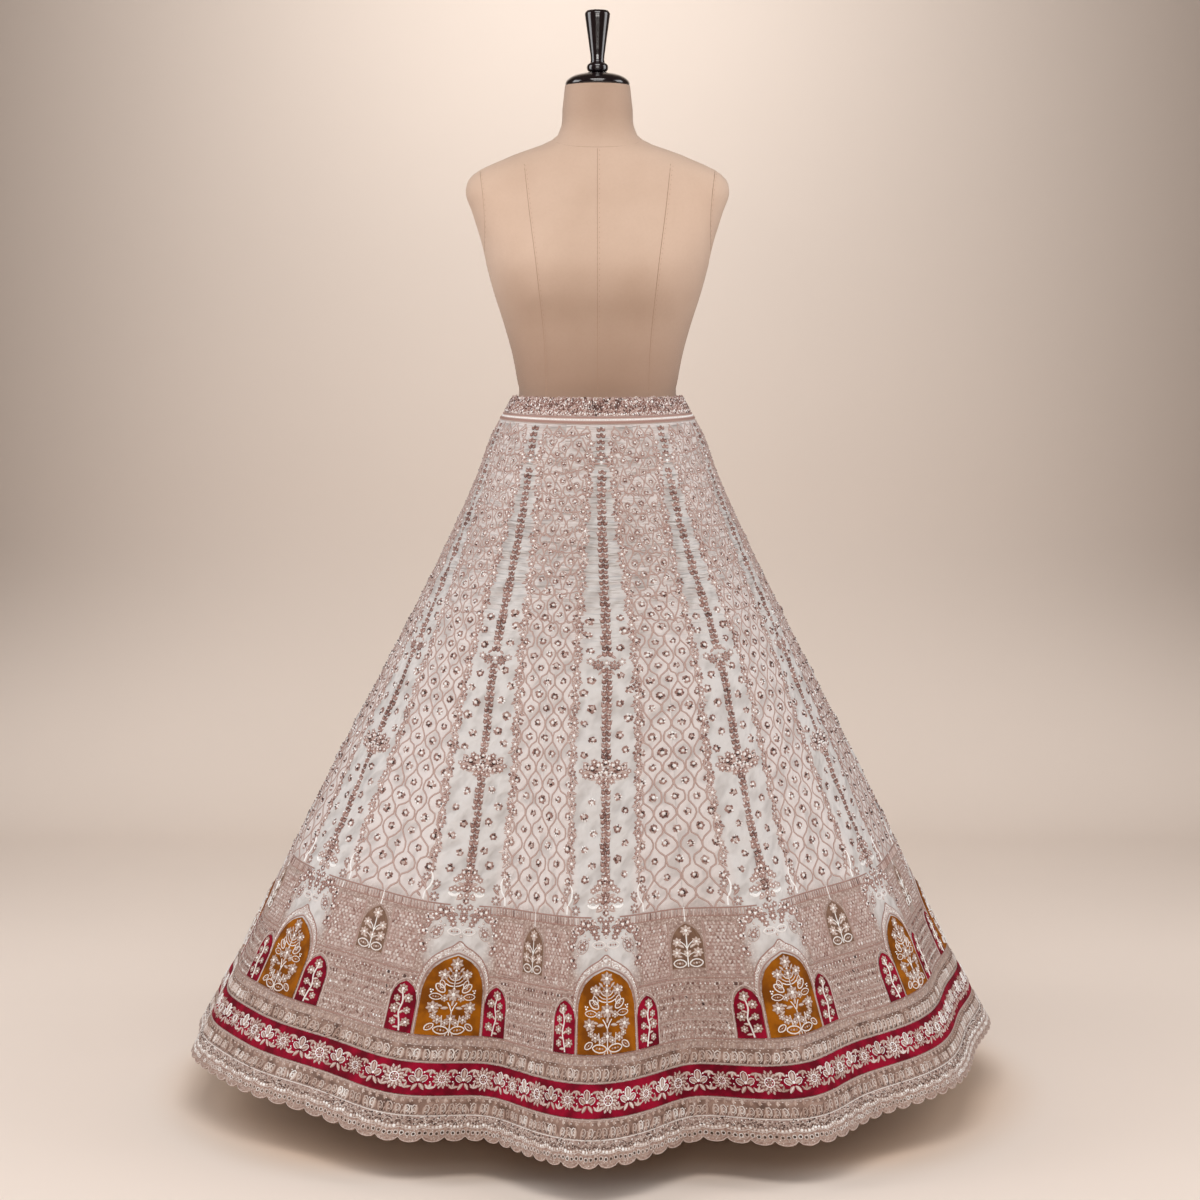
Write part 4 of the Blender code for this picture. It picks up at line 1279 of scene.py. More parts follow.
@dataclass
class DressForm:
    """The linen-covered torso with its seams, the lacquered cap and finial, and the stand."""
    columns: int = 76
    rows: int = 112
    bust_height: float = 1.205
    bust_aside: float = 0.078
    bust_rise: float = 0.008
    seam_width: float = 0.0011
    stitch_pitch: float = 0.008
    stitch_offset: float = 0.0028
    foot_z: float = 0.64
    neck_z: float = 1.4835

    def build(self) -> None:
        """Build and dress every piece of the form."""
        self._torso()
        self._seams()
        lacquer = Lacquer().make()
        for name, outline, node in (("turned_cap", CAP_CURVE, "form_cap"),
                                    ("turned_finial", FINIAL_CURVE, "form_finial")):
            fine = curve(outline, 90 if node == "form_finial" else 40)
            piece = new_object(name, *lathe(fine, 56), lacquer, sharp_deg=50)
            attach(piece, ROOT)
            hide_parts(node)
            LOG.info("%s: turned", name)
        paint = StandPaint().make()
        for node in ("stand_base", "stand_pole"):
            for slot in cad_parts[node].material_slots:
                slot.material = paint

    def point(self, angle: Array, z: Array, out: Number = 0.0) -> Array:
        """Point on the form: a squared oval at each height, with two low bust mounds, moved outwards."""
        angle, z = np.broadcast_arrays(np.asarray(angle, float), np.asarray(z, float))
        here = self._skin(angle, z)
        above, below = (self._skin(angle, np.clip(z + step, self.foot_z, self.neck_z - 1e-4))
                        for step in (1e-4, -1e-4))
        around = self._skin(angle + 1e-3, z) - self._skin(angle - 1e-3, z)
        return here + np.asarray(out)[..., None] * unit(np.cross(around, above - below))

    def _skin(self, angle: Array, z: Array) -> Array:
        """The oval (|sin|^p + |cos|^p)^(-1/p) scaled by the table's half width and depths at z."""
        known = [row.z for row in FORM_SECTIONS]
        half, front, back, power = (
            smooth(z, known, [getattr(row, name) for row in FORM_SECTIONS])
            for name in ("half_width", "front", "back", "squareness"))
        across, ahead = np.sin(angle), np.cos(angle)
        bulge = (np.abs(across) ** power + np.abs(ahead) ** power) ** (-1 / power)
        depth = np.where(ahead > 0, front, back)
        x = half * bulge * across
        mound = sum(np.exp(-0.5 * (((x - side * self.bust_aside) / 0.04) ** 2
                                   + ((z - self.bust_height) / 0.045) ** 2)) for side in (-1, 1))
        hollow = np.exp(-0.5 * ((x / 0.028) ** 2 + ((z - self.bust_height) / 0.05) ** 2))
        rise = (self.bust_rise * mound - 0.5 * self.bust_rise * hollow) * (ahead > 0)
        return np.stack([x, -depth * bulge * ahead - rise, z], axis=-1)

    def _torso(self) -> None:
        """The fitted cover, from the underside to the neck."""
        z = np.interp(np.linspace(0, 1, self.rows), [0, 0.02, 0.45, 0.85, 1],
                      [self.foot_z, 0.648, 1.03, 1.36, self.neck_z])
        angle = np.arange(self.columns) * TAU / self.columns
        grid_angle, grid_z = np.meshgrid(angle, z[::-1])
        points, faces = capped(self._skin(grid_angle, grid_z))
        torso = new_object("linen_torso", points, faces, WornLinen().make(), sharp_deg=55)
        around = np.append(grid_angle.ravel() * 0.15, [0, 0])
        add_uv(torso, np.stack([around, points[:, 2]], axis=-1))
        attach(torso, ROOT)
        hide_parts("form_torso")
        LOG.info("linen_torso: %d rings", self.rows)

    def angle_at(self, x: Array, z: Array, back: bool) -> Array:
        """The angle at which the form is x across at height z, in front or behind."""
        trial = np.linspace(-math.pi / 2, math.pi / 2, 181)
        found = np.array([np.interp(place, self._skin(trial, np.full(181, level))[:, 0], trial)
                          for place, level in zip(x, z)])
        return math.pi - found if back else found

    def _seams(self) -> None:
        """Sewn seams: neck, shoulders, centre lines, princess lines, sides and armhole plates."""
        around = np.linspace(0, TAU, 91)
        lines = [(around, 1.406 - 0.019 * np.clip(np.cos(around), 0, 1) ** 1.5)]
        for back in (False, True):
            turn, top = (math.pi, 1.403) if back else (0.0, 1.385)
            lines.append((np.full(84, turn), np.linspace(0.66, top, 84)))
            for side in (-1, 1):
                for count, heights, reaches in (
                        (80, (0.66, 0.85, 1.03, 1.2, 1.3, 1.362), (0.098, 0.096, 0.076, 0.088, 0.101, 0.108)),
                        (40, (1.235, 1.27, 1.31, 1.353), (0.1685, 0.167, 0.169, 0.1745))):
                    z = np.linspace(heights[0], heights[-1], count)
                    lines.append((self.angle_at(side * smooth(z, heights, reaches), z, back), z))
        for side in (-1, 1):
            lines.append((np.full(60, side * math.pi / 2), np.linspace(0.66, 1.22, 60)))
            lines.append((np.full(40, side * (math.pi / 2 + 0.06)), np.linspace(1.4, 1.33, 40)))
        works = [self._seam(angle, z) for angle, z in lines]
        stitches = [self._stitches(angle, z) for angle, z in lines[1:]]
        work = Work.joined(works + stitches)
        stops = ((0.0, srgb(120, 88, 70)), (0.3, srgb(168, 134, 112)), (0.7, srgb(216, 186, 162)),
                 (1.0, srgb(236, 210, 190)))
        stitched("form_seams", work.points, work, Needlework("linen_seam", stops).make())

    def _seam(self, angle: Array, z: Array) -> Work:
        """A thin folded edge that follows the form: edges on the skin and a crest just above it."""
        centre = self.point(angle, z)
        lifted = self.point(angle, z, 0.0002)
        along = unit(np.gradient(centre, axis=0))
        side = unit(np.cross(along, unit(lifted - centre)))
        rows = [self.point(angle, z, -0.0002) - side * self.seam_width / 2, lifted + 0.25 * (lifted - centre),
                self.point(angle, z, -0.0002) + side * self.seam_width / 2]
        points = np.stack(rows, axis=1).reshape(-1, 3)
        flat = cord(np.stack([np.arange(len(z)) * 0.005, np.zeros(len(z))], axis=-1), 1.0, 0.0)
        tints = np.tile(np.array([0.1, 0.3, 0.55]), len(z))
        return Work(points, flat.faces[:, ::-1], tints, flat.shine, flat.run)

    def _stitches(self, angle: Array, z: Array) -> Work:
        """Short hand stitches beside a seam, at an even pitch."""
        centre = self.point(angle, z)
        chord = np.concatenate([[0], np.cumsum(np.linalg.norm(np.diff(centre, axis=0), axis=1))])
        margin = self.stitch_pitch / 2
        starts = np.arange(margin, chord[-1] - margin, self.stitch_pitch)
        at = starts[:, None] + np.array([0.0, 0.0012, 0.0024])
        a, h = np.interp(at, chord, angle), np.interp(at, chord, z)
        middle, crest = self.point(a, h, 0.0001), self.point(a, h, 0.0004)
        along = unit(middle[:, 2] - middle[:, 0])[:, None]
        side = unit(np.cross(along, unit(crest - middle)))
        wide = np.array([0.0001, 0.00035, 0.0001])[None, :, None]
        middle, crest = middle + side * self.stitch_offset, crest + side * self.stitch_offset
        points = np.stack([middle - side * wide, crest, middle + side * wide], axis=2).reshape(-1, 3)
        one = cord(np.array([[0, 0], [0.0012, 0], [0.0024, 0]]), 0.001, 0.0).faces[:, ::-1]
        faces = (one + (np.arange(len(starts)) * 9)[:, None, None]).reshape(-1, 3)
        count = len(points)
        return Work(points, faces, np.full(count, 0.35), np.zeros(count), np.zeros((count, 2)))


# ================================================================ the skirt's cloth

@dataclass
class SkirtPanels:
    """The twelve kalis: thin closed walls of cloth under all the needlework."""
    columns: int = 25
    side_gap_u: float = 0.0005
    foot_gap_v: float = 0.0003
    spans: tuple[tuple[float, float], ...] = ((0.0, 0.012), (0.06, 0.005), (0.3, 0.0115), (0.66, 0.02))

    def build(self) -> None:
        """Replace each kali by a finer one with its creases, ground colour and cut."""
        finish = SkirtCloth().make()
        stops = [start for start, _ in self.spans[1:]] + [EDGING_V - self.foot_gap_v]
        levels = np.concatenate([np.arange(start, stop, step) for (start, step), stop
                                 in zip(self.spans, stops)] + [[stops[-1]]])
        off = np.linspace(-0.5 + self.side_gap_u, 0.5 - self.side_gap_u, self.columns)
        across, down = np.meshgrid(off, levels)
        uv = np.stack([across * DRAPE.width(down), down * SLANT], axis=-1).reshape(-1, 2)
        for kali in range(KALIS):
            points, faces = sheet_mesh(DRAPE.place(kali + across, down),
                                       DRAPE.place(kali + across, down, -CLOTH), False)
            panel = new_object(f"kali_cloth_{kali + 1:02d}", points, faces, finish, sharp_deg=60)
            add_uv(panel, np.tile(uv, (2, 1)))
            add_attribute(panel, "blush", np.tile(self._blush(across, down).ravel(), 2))
            add_attribute(panel, "worked", np.tile(self._worked(across, down).ravel(), 2))
            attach(panel, ROOT)
            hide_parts(f"kali_{kali + 1:02d}")
            LOG.info("%s: %d faces", panel.name, len(panel.data.polygons))

    @staticmethod
    def _worked(off: Array, v: Array) -> Array:
        """1 in the border, but not over the arch, where the cloth lies plain behind the flowers."""
        plain = (1 - smoothstep(0.15, 0.19, np.abs(off))) * (1 - smoothstep(0.755, 0.775, v))
        return smoothstep(0.688, 0.694, v) * (1 - plain)

    @staticmethod
    def _blush(off: Array, v: Array) -> Array:
        """1 inside the trellis, fading out over a fortieth of a kali at the plain stripe's edge."""
        half = stripe_half(v)
        return smoothstep(half - 0.015, half + 0.02, np.abs(off)) * (1 - smoothstep(0.686, 0.692, v))


@dataclass
class Waist:
    """The beaded waistband and the tape with its two satin cords."""
    columns: int = 224
    mean_radius: float = 0.127
    seam_size: tuple[float, float] = (0.146, 0.118)
    tape_size: tuple[float, float] = (0.1395, 0.1125)
    band_size: tuple[float, float] = (0.1265, 0.1015)
    band_flat: tuple[float, float] = (0.76, 0.025)
    tape_flat: tuple[float, float] = (0.815, 0.012)
    cord_swell: float = 0.0016
    tape_rows: int = 13
    band_rows: int = 7
    dip_fade: float = 0.8
    gap: float = 0.0003

    def build(self) -> None:
        """Build the band's cloth, the tape and all the beading on them."""
        self._band_cloth()
        self._tape()
        self._beading()

    def place(self, x: Array, rise: Array, out: Number = 0.0) -> Array:
        """Point x metres to the right of the front and `rise` above the seam, moved outwards.

        An oval whose half widths run in straight lines from level to level; the outward direction
        is the cross product of the steps down and around.
        """
        here = self._skin(x, rise)
        down = self._skin(x, rise - 2e-4) - here
        around = self._skin(x + 2e-4, rise) - here
        return here + np.asarray(out)[..., None] * unit(np.cross(down, around))

    def _skin(self, x: Array, rise: Array) -> Array:
        """The waist's own surface, without beading."""
        x, rise = np.broadcast_arrays(np.asarray(x, float), np.asarray(rise, float))
        top = PIPING_HEIGHT + BAND_HEIGHT
        widths, depths = zip(self.seam_size, self.tape_size, self.band_size)
        levels = (0.0, PIPING_HEIGHT, top)
        angle = x / self.mean_radius
        dip = DRAPE.waist_dip(angle) * (1 - self.dip_fade * rise / top)
        return np.stack([np.interp(rise, levels, widths) * np.sin(angle),
                         -np.interp(rise, levels, depths) * np.cos(angle), SEAM_Z + rise - dip], axis=-1)

    def _ring(self, rises: Array, outs: Array) -> Array:
        """Rings of points at these rises, each moved outwards by its own amount."""
        x = np.arange(self.columns) * TAU / self.columns * self.mean_radius
        across, up = np.meshgrid(x, rises)
        return self.place(across, up, np.broadcast_to(outs[:, None], across.shape))

    def _band_cloth(self) -> None:
        """The fitted waistband under its beads."""
        rises = np.linspace(PIPING_HEIGHT + BAND_HEIGHT, PIPING_HEIGHT + self.gap, self.band_rows)
        none = np.zeros(self.band_rows)
        points, faces = sheet_mesh(self._ring(rises, none), self._ring(rises, none - CLOTH), True)
        band = new_object("waistband_cloth", points, faces,
                          SkirtCloth("band_cloth", worked=srgb(196, 166, 157), grain=420.0).make(), 60)
        self._finish(band, rises, "waistband")

    def _tape(self) -> None:
        """The tape: two half-round cords with a flat between them."""
        share = np.linspace(1, 0, self.tape_rows)
        rises = self.gap + share * (PIPING_HEIGHT - self.gap)
        upper = np.clip(1 - ((share - 0.84) / 0.13) ** 2, 0, None) ** 0.5
        lower = np.clip(1 - ((share - 0.22) / 0.22) ** 2, 0, None) ** 0.5
        swell = 0.7 * self.cord_swell * upper + self.cord_swell * lower
        points, faces = sheet_mesh(self._ring(rises, swell),
                                   self._ring(rises, np.full(self.tape_rows, -CLOTH)), True)
        tint = np.repeat(0.78 - 0.42 * np.clip(upper + lower, 0, 1), self.columns)
        tape = new_object("piping_tape", points, faces,
                          Needlework("piping_satin", ROSE_STOPS, 0.0012).make(), 60)
        add_attribute(tape, "tint", np.tile(tint, 2))
        add_attribute(tape, "shine", np.full(len(points), 0.12))
        self._finish(tape, rises, "waist_piping")

    def _finish(self, piece: bpy.types.Object, rises: Array, node: str) -> None:
        """Give a ring of cloth its UV, its place in the frame and its cut."""
        x = np.arange(self.columns) * TAU / self.columns * self.mean_radius
        across, up = np.meshgrid(x, rises)
        add_uv(piece, np.tile(np.stack([across, up], axis=-1).reshape(-1, 2), (2, 1)))
        if piece.name == "waistband_cloth":
            add_attribute(piece, "blush", np.ones(len(piece.data.vertices)))
            add_attribute(piece, "worked", np.ones(len(piece.data.vertices)))
        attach(piece, ROOT)
        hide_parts(node)
        LOG.info("%s: %d rings", piece.name, len(rises))

    def _row(self, work: Work, pitch: float, rise: float, start: float = 0.0, turn: float = 0.0,
             size: float = 1.0, sway: float = 0.0, stray: float = 0.08) -> Work:
        """Copies at one rise all round the waist, at about this pitch."""
        count = round(TAU * self.mean_radius / pitch)
        x = (np.arange(count) + start) * TAU * self.mean_radius / count
        jitter = RANDOM.normal(0, sway, (3, count))
        return work.spread(rows_of(x, rise + 0.0006 * jitter[0], turn + 0.5 * jitter[1],
                                   size * (1 + 0.2 * jitter[2])), stray)

    def _beading(self) -> None:
        """Rows of flowers, slanted leaves and beads, with small stones scattered between them."""
        flower = rosette(5, 0.0042, 0.0029, 0.0009, 0.0014, tint=0.22, heart_tint=1.0)
        dark = rosette(5, 0.0036, 0.003, 0.001, 0.0014, tint=0.08, heart_tint=0.14, crest=0.16)
        slant = Work.joined([leaf(0.0068, 0.002, 0.0009, 2, 0.25, 0.14, 0.4),
                             bead(0.0013, 0.0011, 5, tint=1.0, rim_tint=0.8).moved(0.0022, 0.0018)])
        loop = cord(arc(0.0022, 0.0018, -10, 190, 6), 0.0011, 0.0008, 0.34, 0.3)
        seed = bead(0.0009, 0.0009, 4, tint=0.85, rim_tint=0.45)
        parts = [
            self._row(seed, 0.0019, 0.0115, sway=0.3, stray=0.22),
            self._row(slant, 0.0033, 0.0128, turn=-0.4, sway=0.5, stray=0.14),
            self._row(dark, 0.0074, 0.0212, 0.5, sway=1.2, stray=0.12),
            self._row(flower, 0.0081, 0.0226, sway=1.2, stray=0.12),
            self._row(seed, 0.0021, 0.0196, 0.3, sway=0.8, stray=0.28),
            self._row(dark, 0.0096, 0.0268, 0.2, sway=1.2, stray=0.1),
            self._row(flower, 0.0088, 0.0272, 0.7, sway=1.2, stray=0.12),
            self._row(slant, 0.0052, 0.0242, turn=0.9, size=0.7, sway=0.9, stray=0.15),
            self._row(loop, 0.0045, 0.0309, sway=0.8, stray=0.12),
            self._row(seed, 0.0021, 0.0302, 0.4, sway=1.1, stray=0.3),
        ]
        stones = []
        for count, tint, rim, radius in (
                (1100, 1.0, 0.8, 0.0008), (900, 0.18, 0.08, 0.0013), (400, 0.5, 0.3, 0.001)):
            x = RANDOM.uniform(0, TAU * self.mean_radius, count)
            rise = RANDOM.uniform(0.0114, 0.032, count)
            stone = bead(radius, radius, 4, tint=tint, rim_tint=rim)
            stones.append(stone.spread(rows_of(x, rise, size=RANDOM.uniform(0.8, 1.6, count)), 0.1))
        work = Work.joined([*parts, *stones])
        finish = ROSE_WORK.make()
        stitched("waistband_beading", self.place(*work.points.T), work, finish)
        pearls = self._row(bead(0.0008, 0.001, 5, tint=0.97, shine=0.3), 0.0021, 0.006, stray=0.05)
        stitched("piping_pearls", self.place(*pearls.points.T), pearls, finish)


# ================================================================ needlework on the kalis

def sequin_cluster(seed: int) -> Work:
    """A ring of small beads round a tilted white sequin, with one or two dark domes beside it that paint the
    sequin's shadow.

    Args:
        seed: which of the variants.
    Returns:
        A round cluster of radius 1, to be laid at its size in metres.
    """
    luck = np.random.default_rng(seed)
    count = int(luck.integers(5, 8))
    start = luck.uniform(0, TAU)
    parts = [bead(1.0, 0.1, 5, tint=0.62, rim_tint=0.34)]
    for place in range(count):
        turn = start + (place + luck.uniform(-0.25, 0.25)) * TAU / count
        # A ring bead of tint 1.0 is a painted glint; the others keep the beads' own rose tones.
        reach, tint = luck.uniform(0.64, 0.82), float(luck.choice((0.2, 0.3, 0.44, 0.6, 1.0)))
        ring = bead(luck.uniform(0.24, 0.34), 0.26, 4, tint=tint, rim_tint=max(tint - 0.12, 0.18))
        parts.append(ring.moved(reach * math.cos(turn), reach * math.sin(turn)))
    heart = bead(0.42, 0.3, 5, tint=float(luck.choice((1.0, 1.0, 0.84, 0.56))),
                 rim_tint=0.86).tilted(*luck.uniform(-0.2, 0.2, 2))
    parts.append(heart.moved(0.12 * math.cos(start), 0.12 * math.sin(start)))
    # Dark domes on the side away from the sequin's shift: painted shadow of the tilted sequin.
    for turn in start + luck.uniform(-1.2, 1.2, 2 + seed % 2):
        stone = bead(0.25, 0.46, 4, tint=0.0, rim_tint=0.0)
        parts.append(stone.moved(-0.42 * math.cos(turn), -0.42 * math.sin(turn)))
    return Work.joined(parts)


CLUSTERS = tuple(sequin_cluster(seed) for seed in range(12))


def scatter(works: Sequence[Work], places: Array, stray: float = 0.05) -> list[Work]:
    """Lay each place with one of several variants, drawn at random."""
    pick = RANDOM.integers(0, len(works), len(places))
    return [work.laid(places[pick == number], stray)
            for number, work in enumerate(works) if (pick == number).any()]


@dataclass
class JaalLattice:
    """The trellis of ogee cells between the plain stripes, with a cluster of sequins in every cell."""
    top_v: float = 0.0015
    foot_v: float = LADDER_TOP_V - 0.0015
    cells: int = 7
    swing: float = 0.06
    margin: float = 0.006
    levels: tuple[float, ...] = (0.0, 0.05, 0.25, 0.4, 0.6, 0.69)
    periods: tuple[float, ...] = (0.024, 0.0262, 0.035, 0.0415, 0.0455, 0.047)
    points_per_period: int = 7
    garlands: int = 10

    def build(self) -> None:
        """Lay the trellis lines, the small rings near the waist and the sequins."""
        rose = ROSE_WORK.make()
        lines = Basket("jaal_lines", rose)
        for gap in range(KALIS):
            for line in range(self.cells + 1):
                lines.add(self._ribbon(gap, line))
            for row in range(self.garlands):
                lines.add(self._garland(gap, row))
        lines.put_on()
        gap, share, v = self._centres()
        u = self._across(gap, share, v)
        size = np.interp(v, (0.03, 0.25, 0.45, 0.69), (0.0034, 0.0048, 0.0062, 0.0064))
        places = rows_of(u, self._slump(u, v), RANDOM.uniform(-3, 3, len(u)),
                         size * RANDOM.uniform(0.85, 1.15, len(u)))
        for name, half in (("jaal_sequins_front", True), ("jaal_sequins_back", False)):
            chosen = places[(np.cos(u * TAU / KALIS) > 0) == half]
            basket = Basket(name, rose)
            for works, part in ((CLUSTERS[::2], chosen[:, 1] < 0.24), (CLUSTERS, chosen[:, 1] >= 0.24)):
                for work in scatter(works, chosen[part]):
                    basket.add(work)
            basket.put_on()
        small = places[v < 0.22].copy()
        small[:, 2], small[:, 3] = 0.0, np.interp(small[:, 1], (0.03, 0.34), (1.0, 1.55))
        oval = arc(0.0031, 0.0047, 0, 315, 8)
        rings = Basket("jaal_rings", rose)
        rings.add(cord(oval, 0.001, 0.0006, 0.4, 0.2, closed=True).laid(small, 0.05))
        rings.put_on()

    def _phase(self, v: Array) -> Array:
        """How many whole cells lie above v: the integral of the slant over the period."""
        known = np.linspace(self.top_v, self.foot_v, 500)
        rate = SLANT / np.interp(known, self.levels, self.periods)
        total = np.concatenate([[0], np.cumsum((rate[1:] + rate[:-1]) / 2 * np.diff(known))])
        return np.interp(v, known, total)

    def _level(self, phase: Array) -> Array:
        """The v at which so many whole cells lie above."""
        known = np.linspace(self.top_v, self.foot_v, 500)
        return np.interp(phase, self._phase(known), known)

    def _share(self, line: int, v: Array) -> Array:
        """Where a line stands between the region's edges: line / cells, swung by a squared cosine wave."""
        wave = np.tanh(1.5 * np.cos(TAU * self._phase(v))) / math.tanh(1.5)
        stray = 0.009 * np.sin(61.0 * v + 4.1 * line) + 0.006 * np.sin(143.0 * v + 2.9 * line)
        swing = (self.swing + 0.012 * np.sin(23.0 * v + 2.3 * line)) * wave * (-1) ** line + stray
        if line == 0:
            swing = np.maximum(swing, 0)
        if line == self.cells:
            swing = np.minimum(swing, 0)
        return line / self.cells + swing

    @staticmethod
    def _slump(u: Array, v: Array) -> Array:
        """v with the sags that the creased cloth gives the rows, fading out a third of the way down."""
        sag = 0.0062 * np.sin(27.0 * u + 3.0) * np.sin(75.0 * v + 9.0 * u)
        sag = sag + 0.0024 * np.sin(71.0 * u + 40.0 * v)
        return v + sag * (1 - 0.75 * smoothstep(0.2, 0.42, v)) * smoothstep(0.0, 0.03, v)

    def _across(self, gap: Array, share: Array, v: Array) -> Array:
        """The u at a share of the way from one border to the next."""
        edge = stripe_half(v) + self.margin / DRAPE.width(v)
        return gap + edge + share * (1 - 2 * edge)

    def _ribbon(self, gap: int, line: int) -> Work:
        """One couched thread from the waist to the border."""
        cells = self._phase(np.array([self.foot_v]))[0]
        v = self._level(np.linspace(0, cells, int(cells * self.points_per_period)))
        u = self._across(gap, self._share(line, v), v)
        width = np.interp(v, (0.03, 0.3, 0.69), (0.0015, 0.0021, 0.0027))
        return laid_cord(u, self._slump(u, v), width, 0.0009, tint=0.38, crest=0.22)

    def _garland(self, gap: int, row: int) -> Work:
        """A thread that runs from border to border along a row, sagging between the cells' points."""
        share = np.linspace(0.0, 1.0, 18)
        level = float(self._level(np.array([row + 0.5]))[0])
        swag = (0.0042 * np.abs(np.sin(math.pi * (self.cells - 1) * share + gap))
                + 0.008 * np.sin(math.pi * share))
        slope = 0.01 * math.sin(2.3 * row + 1.7 * gap) * (share - 0.5)
        v = level - 0.004 + swag * (0.8 + 0.3 * math.sin(3.1 * row + gap)) + slope
        wide = 0.0026 * (0.55 + 0.45 * np.sin(7.0 * share + row + gap) ** 2)
        return laid_cord(self._across(np.full(18, gap), share, v), v, wide, 0.0011, tint=0.32, crest=0.26)

    def _centres(self) -> tuple[Array, Array, Array]:
        """The gap, share and v of every cell's middle."""
        cells = self._phase(np.array([self.foot_v]))[0]
        rows = []
        for column in range(self.cells):
            phase = np.arange(0.5 if column % 2 == 0 else 1.0, cells - 0.15, 1.0)
            v = self._level(phase)
            rows += [(gap, (column + 0.5) / self.cells, level) for gap in range(KALIS) for level in v]
        gap, share, v = np.array(rows).T
        inwards = np.where(share < 0.2, -0.03, np.where(share > 0.8, 0.03, 0.0))
        return gap, share + inwards, v


def laid_cord(u: Array, v: Array, width: Number, height: float, tint: float, crest: float = 0.12,
              shine: float = 0.0) -> Work:
    """A thread along a path already given on the cloth.

    The thread is drawn flat with x = u times the local width of a kali and y = -v times the slant,
    and each of its points is then read back with the width at that place.
    """
    local = DRAPE.width(v)
    flat = cord(np.stack([(u - u[0]) * local, -v * SLANT], axis=-1), width, height, tint, crest, shine)
    x, y, h = flat.points.T
    return flat.at(np.stack([u[0] + x / np.repeat(local, 3), -y / SLANT, h], axis=-1))


CROWN_V = 0.05
CROSS_V = 0.345
GROUP_V = 0.497
VASE_V = 0.669


